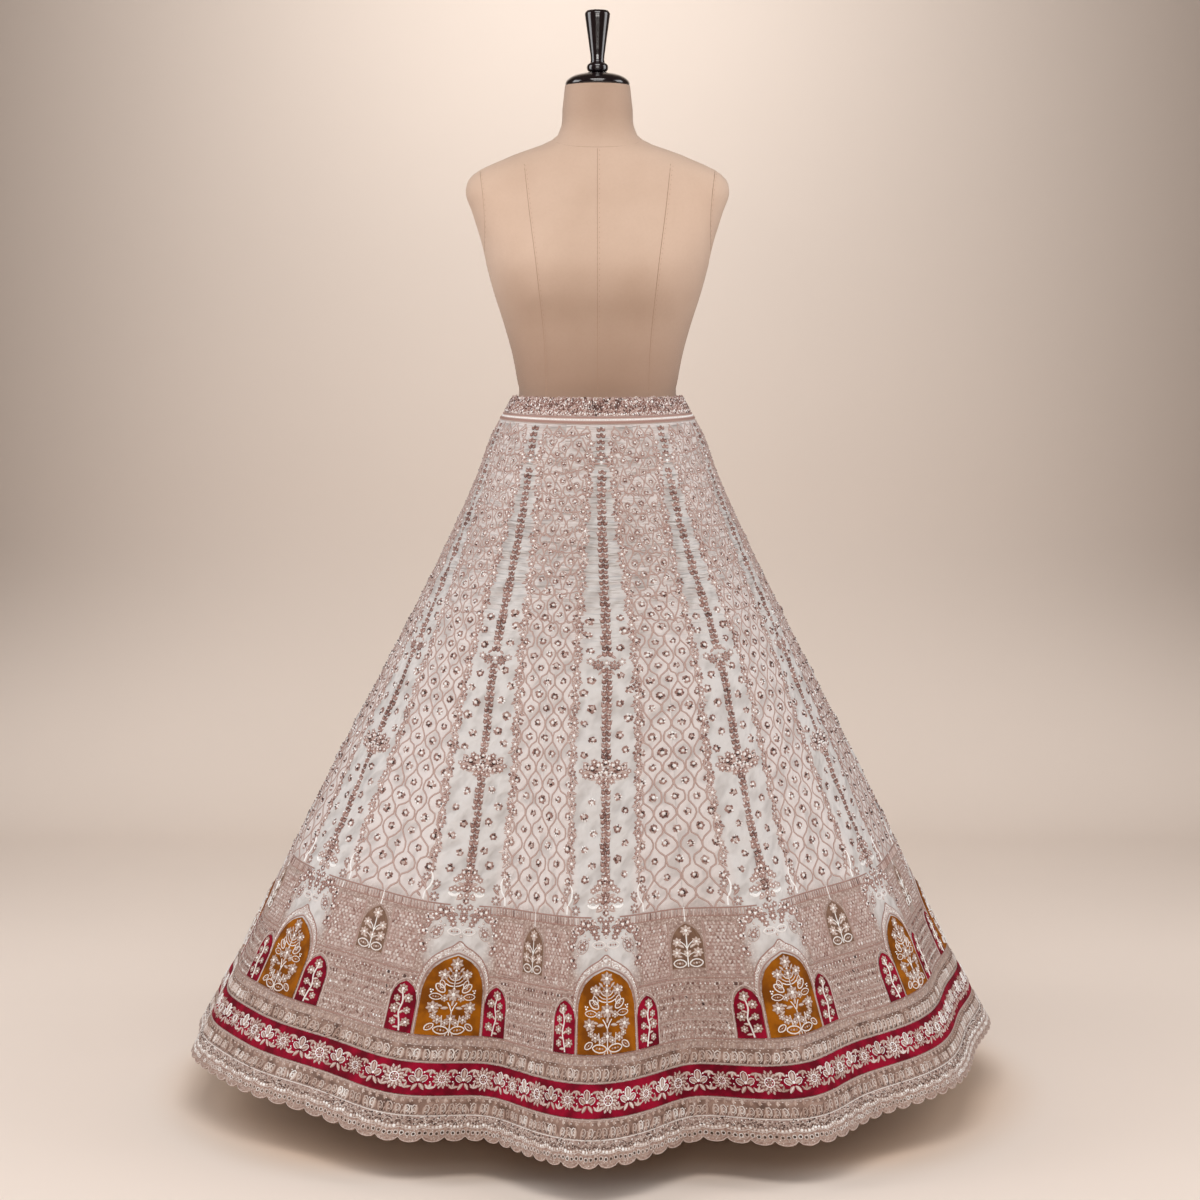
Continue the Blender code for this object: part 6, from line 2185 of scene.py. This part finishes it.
    def _trims(self) -> None:
        """Stitched rings, edge cords, a pearl and sequin arc over each scallop."""
        cream = CREAM_WORK.make()
        u, v = self._holes(-0.5, KALIS - 0.5)
        rings = Basket("eyelet_rings", cream)
        ring = cord(arc(0.0026, 0.0026, 0, 300, 6), 0.0013, 0.001, 0.58, 0.32, closed=True)
        rings.add(ring.laid(rows_of(u, v), 0.08))
        rings.put_on()
        trims = Basket("edging_trims", cream)
        for quarter in range(4):
            along = np.linspace(3 * quarter - 0.5, 3 * quarter + 2.5,
                                3 * SCALLOPS_PER_KALI * self.pearls_per_scallop + 1)
            edge = self.edge(along)
            for v, width, height, tint, crest in (
                    (edge - 0.0006 / SLANT, 0.0014, 0.0009, 0.48, 0.3),
                    (edge - 0.0046 / SLANT, 0.001, 0.0007, 0.4, 0.3),
                    (0.9835 + 0.45 * (edge - 1), 0.0009, 0.0007, 0.7, 0.2)):
                trims.add(laid_cord(along, v, width, height, tint, crest))
        trims.put_on()
        gravel = Basket("edging_gravel", cream)
        for count, tint in ((2300, 0.1), (1400, 0.94)):
            spots = RANDOM.uniform(-0.5, KALIS - 0.5, count)
            v = RANDOM.uniform(0.969, 0.979, count) + 0.85 * (self.edge(spots) - 1) * 0.5
            places = rows_of(spots, v, RANDOM.uniform(-3, 3, count), RANDOM.uniform(0.8, 1.4, count))
            grain = bead(0.0011, 0.0011, 4, tint=tint, rim_tint=max(tint - 0.2, 0.04))
            gravel.add(grain.laid(places, 0.08))
        gravel.put_on()
        pearls = Basket("edging_pearls", cream)
        count = KALIS * SCALLOPS_PER_KALI * self.pearls_per_scallop
        around = (np.arange(count) + 0.5) * KALIS / count - 0.5
        level = 0.9815 + 0.85 * (self.edge(around) - 1)
        places = rows_of(around, level, size=RANDOM.uniform(0.7, 1.15, count))
        pearls.add(bead(0.0024, 0.0016, 5, tint=1.0, rim_tint=0.74).laid(places, 0.1))
        pearls.put_on()


class BeadRow(NamedTuple):
    """A row of stones: its v, its pitch and size in metres, stretch, tint, first place and turn."""
    v: float
    pitch: float
    size: float
    stretch: float
    tint: float
    start: float = 0.0
    turn: float = 0.0


LOWER_ROWS = tuple(BeadRow(*row) for row in (
    (0.7925, 0.0062, 0.0019, 1.0, 0.4), (0.7925, 0.0062, 0.0009, 1.0, 0.91, 0.5),
    (0.7985, 0.0062, 0.001, 1.6, 0.38, 0.5), (0.799, 0.0062, 0.001, 1.0, 0.77),
    (0.8035, 0.004, 0.001, 1.0, 0.61), (0.8105, 0.0046, 0.001, 2.2, 0.36, 0.0, 0.2),
    (0.815, 0.0046, 0.0009, 1.0, 0.91, 0.5), (0.8205, 0.0092, 0.0016, 1.3, 0.35),
    (0.8215, 0.0092, 0.0009, 1.8, 0.5, 0.35, 0.6), (0.8215, 0.0092, 0.0009, 1.8, 0.5, 0.65, -0.6),
    (0.8265, 0.0092, 0.0013, 1.0, 0.95, 0.5), (0.8325, 0.0046, 0.0009, 1.5, 0.41, 0.2, 0.5),
    (0.8445, 0.005, 0.001, 2.0, 0.4, 0.0, 0.7), (0.848, 0.005, 0.001, 2.0, 0.52, 0.5, -0.7),
    (0.8515, 0.005, 0.0011, 1.2, 0.88, 0.0), (0.855, 0.005, 0.001, 2.0, 0.38, 0.5, 0.7),
    (0.859, 0.005, 0.001, 2.0, 0.5, 0.0, -0.7), (0.8622, 0.004, 0.001, 1.0, 0.77)))


@dataclass
class BorderField:
    """The close work round the arches: frames, ladder, beaded panels, small arches and crescent bands."""
    frame_shape: tuple[tuple[float, float], ...] = (
        (1.2, -0.02), (1.2, 0.3), (1.205, 0.6), (1.14, 0.76), (0.94, 0.92), (0.58, 1.045), (0.22, 1.12),
        (0.0, 1.18))
    panel: tuple[float, float] = (0.222, 0.404)
    column_u: float = 0.412
    panel_levels: tuple[float, float] = (0.7075, 0.7815)
    small_arch_half: float = 0.082
    small_arch_levels: tuple[float, float] = (0.772, 0.711)
    small_arch_size: tuple[int, int] = (12, 17)
    almonds_per_kali: int = 28
    fans_per_kali: int = 24

    def build(self) -> None:
        """Gather and lay the border's needlework."""
        rose, cream = ROSE_WORK.make(), CREAM_WORK.make()
        for name, finish, steps in (
                ("border_lines", rose, (self._lines, self._frames)),
                ("border_stones", rose, (self._rows, self._panels, self._frame_beads)),
                ("border_garlands", rose, (self._spandrels,)),
                ("small_arches", cream, (self._small_arches,)),
                ("crescent_bands", cream, (self._crescents,))):
            filled(Basket(name, finish), *steps)

    @staticmethod
    def _ring_line(basket: Basket, v: float, width: float, tint: float, skip: float) -> None:
        """A level line on both sides of every kali's centre, from `skip` to the kali's edge."""
        for kali in range(KALIS):
            for side in (-1, 1):
                u = kali + side * np.linspace(skip, 0.5, 15)
                basket.add(laid_cord(u, np.full(15, v), width, 0.0006, tint))

    def _lines(self, basket: Basket) -> None:
        """The ladder over the border, the level lines and the upright ones."""
        for row in ((LADDER_TOP_V, 0.002, 0.3, 0.085), (LADDER_FOOT_V, 0.002, 0.3, 0.115),
                    (0.7848, 0.0018, 0.3, 0.185), (0.788, 0.0014, 0.46, 0.185), (0.8068, 0.0017, 0.3, 0.325),
                    (0.8375, 0.0015, 0.36, 0.325), (0.8408, 0.0009, 0.56, 0.325), (0.866, 0.0019, 0.3, 0.0)):
            self._ring_line(basket, *row)
        rung = cord(np.array([[0, 0.0], [0, 0.0095]]), 0.0022, 0.001, 0.26, 0.4)
        off = np.arange(0.12, 0.492, 0.0195)
        places = np.array([(kali + side * share, LADDER_FOOT_V, 0, 1, 1) for kali in range(KALIS)
                           for side in (-1, 1) for share in off])
        basket.add(rung.laid(places, 0.12))
        v = np.linspace(0.689, 0.7085, 8)
        for kali in range(KALIS):
            basket.add(laid_cord(np.full(8, kali + 0.5), v, 0.0017, 0.0008, 0.92, 0.05))
            for side in (-1, 1):
                levels = np.linspace(*self.panel_levels, 12)
                basket.add(laid_cord(kali + side * np.full(12, self.column_u), levels, 0.001, 0.0006, 0.46))
                basket.add(self._panel_outline(kali, side))

    def _panel_outline(self, kali: int, side: int) -> Work:
        """A line round a beaded panel, with its lower corners rounded."""
        (inner, outer), (top, foot) = self.panel, self.panel_levels
        turn = np.linspace(0, math.pi / 2, 5)
        round_u, round_v = 0.03, 0.0085
        share = np.concatenate([[inner, inner], inner + round_u * (1 - np.cos(turn)),
                                outer - round_u * (1 - np.sin(turn)), [outer, outer]])
        v = np.concatenate([[top, (top + foot) / 2], foot - round_v * (1 - np.sin(turn)),
                            foot - round_v * (1 - np.cos(turn)), [(top + foot) / 2, top]])
        return laid_cord(kali + side * share, v, 0.0018, 0.0009, 0.3, 0.3)

    def _frame_path(self, grow: float) -> tuple[Array, Array]:
        """The frame's outline as (offset in u, v), or the arch's own grown by `grow` of its half width."""
        shape = self.frame_shape if grow == 0 else [
            (x * (1 + grow), y * (1 + 0.38 * grow)) for x, y in ARCH_SHAPE]
        path = curve(mirrored(shape), 48)
        return ARCH_HALF_U * path[:, 0], ARCH_FOOT_V - ARCH_HEIGHT_V * path[:, 1]

    def _frames(self, basket: Basket) -> None:
        """Lines inside and outside the ogee frame of every arch, and round every niche."""
        for grow, width, tint in ((0.0, 0.0021, 0.28), (0.075, 0.0018, 0.32), (0.115, 0.0013, 0.6)):
            off, v = self._frame_path(grow)
            for kali in range(KALIS):
                basket.add(laid_cord(kali + off, v, width, 0.0008, tint))
        path = curve(mirrored([(1.11 * x, 1.06 * y) for x, y in NICHE_SHAPE]), 28)
        for kali in range(KALIS):
            for side in (-1, 1):
                basket.add(laid_cord(kali + side * NICHE_MIDDLE_U + NICHE_HALF_U * path[:, 0],
                                     ARCH_FOOT_V - NICHE_HEIGHT_V * path[:, 1], 0.0018, 0.0009, 0.44, 0.3))

    def _outline_v(self, off: Array) -> Array:
        """v of the frame's outline over a place beside the centre line; the foot's level outside it."""
        rows = sorted((ARCH_HALF_U * x, ARCH_FOOT_V - ARCH_HEIGHT_V * y)
                      for x, y in self.frame_shape if y >= 0.6)
        return np.interp(np.abs(off), [x for x, _ in rows], [v for _, v in rows], right=1.0)

    def _taken(self, u: Array, v: Array) -> Array:
        """Whether a place lies inside a frame, a niche or a small arch."""
        off = np.abs(u - np.round(u))
        height = 1.1 * NICHE_HEIGHT_V
        niche = (off > NICHE_INNER_U - 0.012) & (off < NICHE_OUTER_U + 0.012) & (v > ARCH_FOOT_V - height)
        edge = np.abs(off - NICHE_MIDDLE_U) / (NICHE_HALF_U + 0.006)
        niche &= v > ARCH_FOOT_V - height * arch_edge(np.minimum(edge, 1), NICHE_SHAPE)
        small = (off > 0.5 - self.small_arch_half - 0.012) & (v < self.small_arch_levels[0] + 0.004)
        return (v > self._outline_v(off) - 0.002) | niche | small

    @staticmethod
    def _stone(stretch: float, tint: float) -> Work:
        """A four-sided domed bead of radius 1, drawn out upwards."""
        one = bead(1.0, 0.55, 4, tint=tint, shine=0.1, rim_tint=max(tint - 0.16, 0.26))
        return one.at(one.points * (1, stretch, 1))

    def _rows(self, basket: Basket) -> None:
        """The level rows below the panels."""
        for row in LOWER_ROWS:
            count = round(KALIS * float(DRAPE.width(row.v)) / row.pitch)
            u = (np.arange(count) + row.start) * KALIS / count - 0.5
            v = np.full(count, row.v)
            keep = ~self._taken(u, v)
            count = keep.sum()
            places = rows_of(u[keep], v[keep] + RANDOM.normal(0, 0.0003, count),
                             row.turn + RANDOM.normal(0, 0.25, count),
                             1.35 * row.size * RANDOM.uniform(0.8, 1.25, count))
            basket.add(self._stone(row.stretch, row.tint).laid(places, 0.14))

    def _panels(self, basket: Basket) -> None:
        """Pale knots in rows in the panels, with brown slanted drops between them."""
        knots, drops = [], []
        levels = np.arange(self.panel_levels[0] + 0.004, self.panel_levels[1] - 0.002, 0.0047)
        for number, v in enumerate(levels):
            shift = 0.0115 * (number % 2)
            for share in np.arange(self.panel[0] + 0.008 + shift, self.panel[1] - 0.004, 0.023):
                knots += [(side * share, v, 0.0) for side in (-1, 1)]
                drops += [(side * (share + 0.0115), v + 0.0006,
                           side * (0.7 if number % 2 else -0.7)) for side in (-1, 1)]
        for rows, size, stretch, tint in ((knots, 0.0025, 1.1, 0.72), (drops, 0.0018, 2.0, 0.54)):
            table = np.tile(np.array(rows), (KALIS, 1))
            count = len(table)
            kali = np.repeat(np.arange(KALIS), len(rows))
            places = rows_of(kali + table[:, 0] + RANDOM.normal(0, 0.0016, count), table[:, 1],
                             table[:, 2] + RANDOM.normal(0, 0.3, count),
                             size * RANDOM.uniform(0.75, 1.25, count))
            basket.add(self._stone(stretch, tint).laid(places, 0.09))

    def _frame_beads(self, basket: Basket) -> None:
        """Tiny pale beads that fill the ogee frames."""
        rows = []
        inner = curve(mirrored([(1.145 * x, 1.055 * y) for x, y in ARCH_SHAPE]), 90)
        outer = curve(mirrored(self.frame_shape), 90)
        outer[:, 0] *= 0.985
        wide = np.linalg.norm((outer - inner) * (0.039, 0.109), axis=1)
        for number, share in enumerate((0.14, 0.32, 0.5, 0.68, 0.86)):
            path = inner + share * (outer - inner)
            chosen = path[wide > (0.0045 if number in (1, 3) else 0.0)]
            rows.append(chosen + (0.0, 0.004 * (number % 2)))
        path = np.concatenate(rows)
        kali = np.repeat(np.arange(KALIS), len(path))
        across, height = np.tile(path, (KALIS, 1)).T
        places = rows_of(kali + ARCH_HALF_U * across, ARCH_FOOT_V - ARCH_HEIGHT_V * height,
                         RANDOM.uniform(-1, 1, len(kali)), 0.0012 * RANDOM.uniform(0.8, 1.25, len(kali)))
        basket.add(self._stone(1.2, 0.84).laid(places, 0.14))

    @staticmethod
    def _spandrels(basket: Basket) -> None:
        """Two eye leaves over each arch, flowers beside them and trailing drops of beads."""
        eye = eye_leaf(0.0185, 0.01, 0.0018, 0.84, 0.3)
        flower = rosette(7, 0.008, 0.0048, 0.0015, 0.0025, tint=0.16, heart_tint=1.0, inner=0.24, crest=0.34)
        small = rosette(6, 0.0062, 0.0042, 0.0013, 0.002, tint=0.18, heart_tint=1.0, inner=0.24, crest=0.34)
        sprig = leaf(0.01, 0.0052, 0.0013, 3, 0.2, 0.16, 0.36)
        pearl = bead(0.0019, 0.0016, 6, tint=1.0, rim_tint=0.4, shine=0.1)
        drop = Work.joined([
            *(bead(0.0011, 0.0009, 5, tint=0.22 + 0.5 * (k % 2), shine=0.4).moved(
                0.0058 * math.sin(k * TAU / 11), 0.0085 * math.cos(k * TAU / 11)) for k in range(11)),
            small.moved(0, -0.001, size=0.9), small.moved(0, 0.0045, size=0.6),
            cord(arc(0.0078, 0.0108, 60, 400, 16), 0.001, 0.0007, 0.46)])
        balls = [CLUSTERS[number].moved(size=0.0062) for number in (1, 4, 8)]
        half = arranged(
            (eye, 0.8, 142, -1.57), (flower, 25, 168), (flower, 16.5, 160, 0, 0.8), (small, 37, 164),
            (sprig, 30, 161, -2), (small, 13, 152.5, 0, 0.85), (drop, 33.5, 140, 0.55), (pearl, 41.5, 128),
            (pearl, 44, 123.5), (pearl, 45.2, 119, 0, 0.8), (small, 47, 114, 0, 0.8),
            (small, 46, 153, 0, 0.9), (sprig, 43, 150, -2.4, 0.8), (pearl, 50, 160), (pearl, 24, 150),
            (sprig, 8, 164, -1, 0.8), (small, 7.5, 176, 0, 0.8), (pearl, 30, 154.5),
            (small, 56, 145, 0, 0.75), (pearl, 55.5, 135), (pearl, 54, 125), (pearl, 60, 156),
            (small, 56, 111.5, 0, 0.7), (balls[0], 31, 170), (balls[1], 44, 159), (balls[2], 50, 139),
            (balls[0], 50.5, 120.5, 0, 0.9), (balls[1], 18.5, 171, 0, 0.9), mirror=True)
        group = Work.joined([half, arranged(
            (pearl, 0, 135.5, 0, 1.2), (flower, 0, 161, 0, 0.9), (pearl, 0, 152), (small, 0, 170))])
        basket.add(group.laid(round_kalis(v=ARCH_FOOT_V), 0.03))

    def _small_arches(self, basket: Basket) -> None:
        """Small arches filled with close brown stitching, each with a spray and two outlined leaves."""
        foot, apex = self.small_arch_levels
        pointed = ((1.0, 0.0), (1.0, 0.58), (0.82, 0.76), (0.5, 0.9), (0.2, 0.965), (0.0, 1.0))
        u, v = (part.ravel() for part in arch_grid(0.5, self.small_arch_half, foot, foot - apex, pointed,
                                                   self.small_arch_size)[2:])
        ground = Work(np.stack([u, v, np.full(u.size, 0.0003)], axis=-1),
                      grid_triangles(*self.small_arch_size), 0.45 + RANDOM.normal(0, 0.1, u.size),
                      np.zeros(u.size), np.stack([u * 0.27, v * SLANT], axis=-1))
        grounds = Basket("small_arch_grounds", BRONZE_WORK.make())
        flower = rosette(7, 0.0068, 0.0054, 0.0013, 0.0022, tint=0.34, heart_tint=1.0, inner=0.22, crest=0.46)
        eye = eye_leaf(0.0168, 0.0108, 0.0018, 0.86, 0.5)
        sprig = leaf(0.0078, 0.0042, 0.0011, 3, 0.2, 0.46, 0.4)
        half = arranged(
            (eye, 2.2, 6.2, -1.44), (flower, 13.6, 22.5), (flower, 12.2, 37, 0, 0.95),
            cord(np.array([[0.0, 0.027], [0.003, 0.033], [0.0085, 0.0385]]), 0.0012, 0.0009, 0.92),
            cord(np.array([[0.0, 0.016], [0.004, 0.0195], [0.009, 0.0225]]), 0.0012, 0.0009, 0.8),
            (sprig, 4, 28.5, -0.7), (sprig, 7, 16, -1.2, 0.8), mirror=True)
        spray = Work.joined([half, arranged(
            (flower, 0, 52.5, 0, 1.1),
            cord(np.array([[0, 0.002], [0, 0.026], [0, 0.049]]), 0.0015, 0.0009, 0.92),
            (flower, 0, 21, 0, 0.8), (sprig, 0, 43, 0, 0.7))])
        basket.add(spray.laid(round_kalis(0.5, foot), 0.03), Layers.ON_WORK)
        path = curve(mirrored(pointed), 40)
        for kali in range(KALIS):
            grounds.add(ground.at(ground.points + (kali, 0, 0)))
            u = kali + 0.5 + self.small_arch_half * 1.03 * path[:, 0]
            basket.add(laid_cord(u, foot - (foot - apex) * 1.02 * path[:, 1], 0.0015, 0.001, 0.36, 0.2))
            basket.add(laid_cord(kali + 0.5 + np.linspace(-1, 1, 9) * self.small_arch_half, np.full(9, foot),
                                 0.0014, 0.0009, 0.36, 0.2))
        grounds.put_on()

    @staticmethod
    def _strip(levels: Array, tint: float) -> Work:
        """A level strip of close stitching all round the skirt, just off its cloth."""
        across = np.linspace(-0.5, KALIS - 0.5, KALIS * 36 + 1)
        u, v = np.meshgrid(across, levels[::-1])
        faces = grid_triangles(*u.shape)
        tints = tint + RANDOM.normal(0, 0.12, u.size)
        return Work(np.stack([u, v, np.full(u.shape, 0.0002)], axis=-1).reshape(-1, 3), faces, tints,
                    np.zeros(u.size), np.stack([u * 0.3, v * SLANT], axis=-1).reshape(-1, 2))

    def _crescents(self, basket: Basket) -> None:
        """The bands of filled almonds above and below the velvet, and the arcs over the edging."""
        sweep = np.sin(np.linspace(0.12, math.pi - 0.05, 6))
        almond = arranged(
            (leaf(0.015, 0.008, 0.0012, 3, 0.18, 0.24, 0.4), -0.4, -0.5, 0.3),
            cord(arc(0.0046, 0.0074, -70, 175, 6) + (0.0006, 0.0072), 0.0023 * sweep, 0.0015, 0.58, 0.26),
            cord(arc(0.0024, 0.004, -60, 170, 4) + (0.001, 0.0066), 0.0014, 0.0016, 0.46, 0.4),
            (bead(0.0016, 0.0018, 4, tint=1.0, rim_tint=0.6, shine=0.2), 0.6, 4.2),
            (leaf(0.0105, 0.0042, 0.0012, 2, 0.35, 0.22, 0.48), 6.8, -1, -0.15),
            (bead(0.0014, 0.0014, 4, tint=1.0, rim_tint=0.5, shine=0.2), 7, 12.8),
            (bead(0.0013, 0.0012, 4, tint=0.02), 4.4, 1.2))
        wedge = leaf(0.0066, 0.0064, 0.001, 2, 0.0, 0.4, 0.24)
        dot = bead(0.0013, 0.0012, 5, tint=1.0, rim_tint=0.5, shine=0.2)
        for foot, size, line_top, line_foot in ((0.8966, 1.0, 0.8695, 0.8988), (0.965, 0.9, 0.9435, 0.9668)):
            strip = np.linspace(line_foot - 0.0015, line_foot - 0.0205, 4)
            basket.add(self._strip(strip, 0.29))
            count = KALIS * self.almonds_per_kali
            around = (np.arange(count) + 0.5) / self.almonds_per_kali - 0.5
            lean = RANDOM.normal(0, 0.16, count) - 0.1
            flips = np.where(RANDOM.random(count) < 0.25, -1, 1)
            sizes = size * RANDOM.uniform(0.88, 1.06, count)
            basket.add(almond.laid(rows_of(around, foot, lean, sizes, flips), 0.08), Layers.ON_WORK)
            basket.add(wedge.laid(rows_of(around + 0.3 / self.almonds_per_kali, line_top + 0.0072), 0.06))
            basket.add(dot.laid(rows_of(around + 0.5 / self.almonds_per_kali, foot - 0.0165, size=0.9), 0.1))
        along = np.linspace(-0.5, KALIS - 0.5, KALIS * 27)
        for v, width, tint in ((0.8695, 0.0011, 0.44), (0.899, 0.0014, 0.6), (0.943, 0.0014, 0.6),
                               (0.9672, 0.0013, 0.8)):
            basket.add(laid_cord(along, np.full(len(along), v), width, 0.0008, tint))
        around = (np.arange(KALIS * self.fans_per_kali) + 0.5) / self.fans_per_kali - 0.5
        fan = Work.joined([cord(arc(0.0058, 0.006, 10, 170, 6), 0.0015, 0.0011, 0.34, 0.45),
                           cord(arc(0.0034, 0.0036, 10, 170, 4), 0.0013, 0.0011, 0.1, 0.3),
                           bead(0.0016, 0.0014, 5, tint=1.0, rim_tint=0.4, shine=0.2).moved(0, 0.0008),
                           bead(0.0012, 0.0012, 4, tint=0.04, shine=0.3).moved(0.0062, 0.0004)])
        basket.add(fan.laid(rows_of(around, 0.9775), 0.06))


# ================================================================ the scene

def main() -> None:
    """Build the sub-assemblies in order."""
    logging.basicConfig(level=logging.INFO, format="%(message)s")
    for part in (Studio(), DressForm(), SkirtPanels(), Waist(), JaalLattice(), StripeWork(), ArchWork(),
                 BorderField(), HemBand(), ScallopedEdging()):
        part.build()


if __name__ == "__main__":
    main()
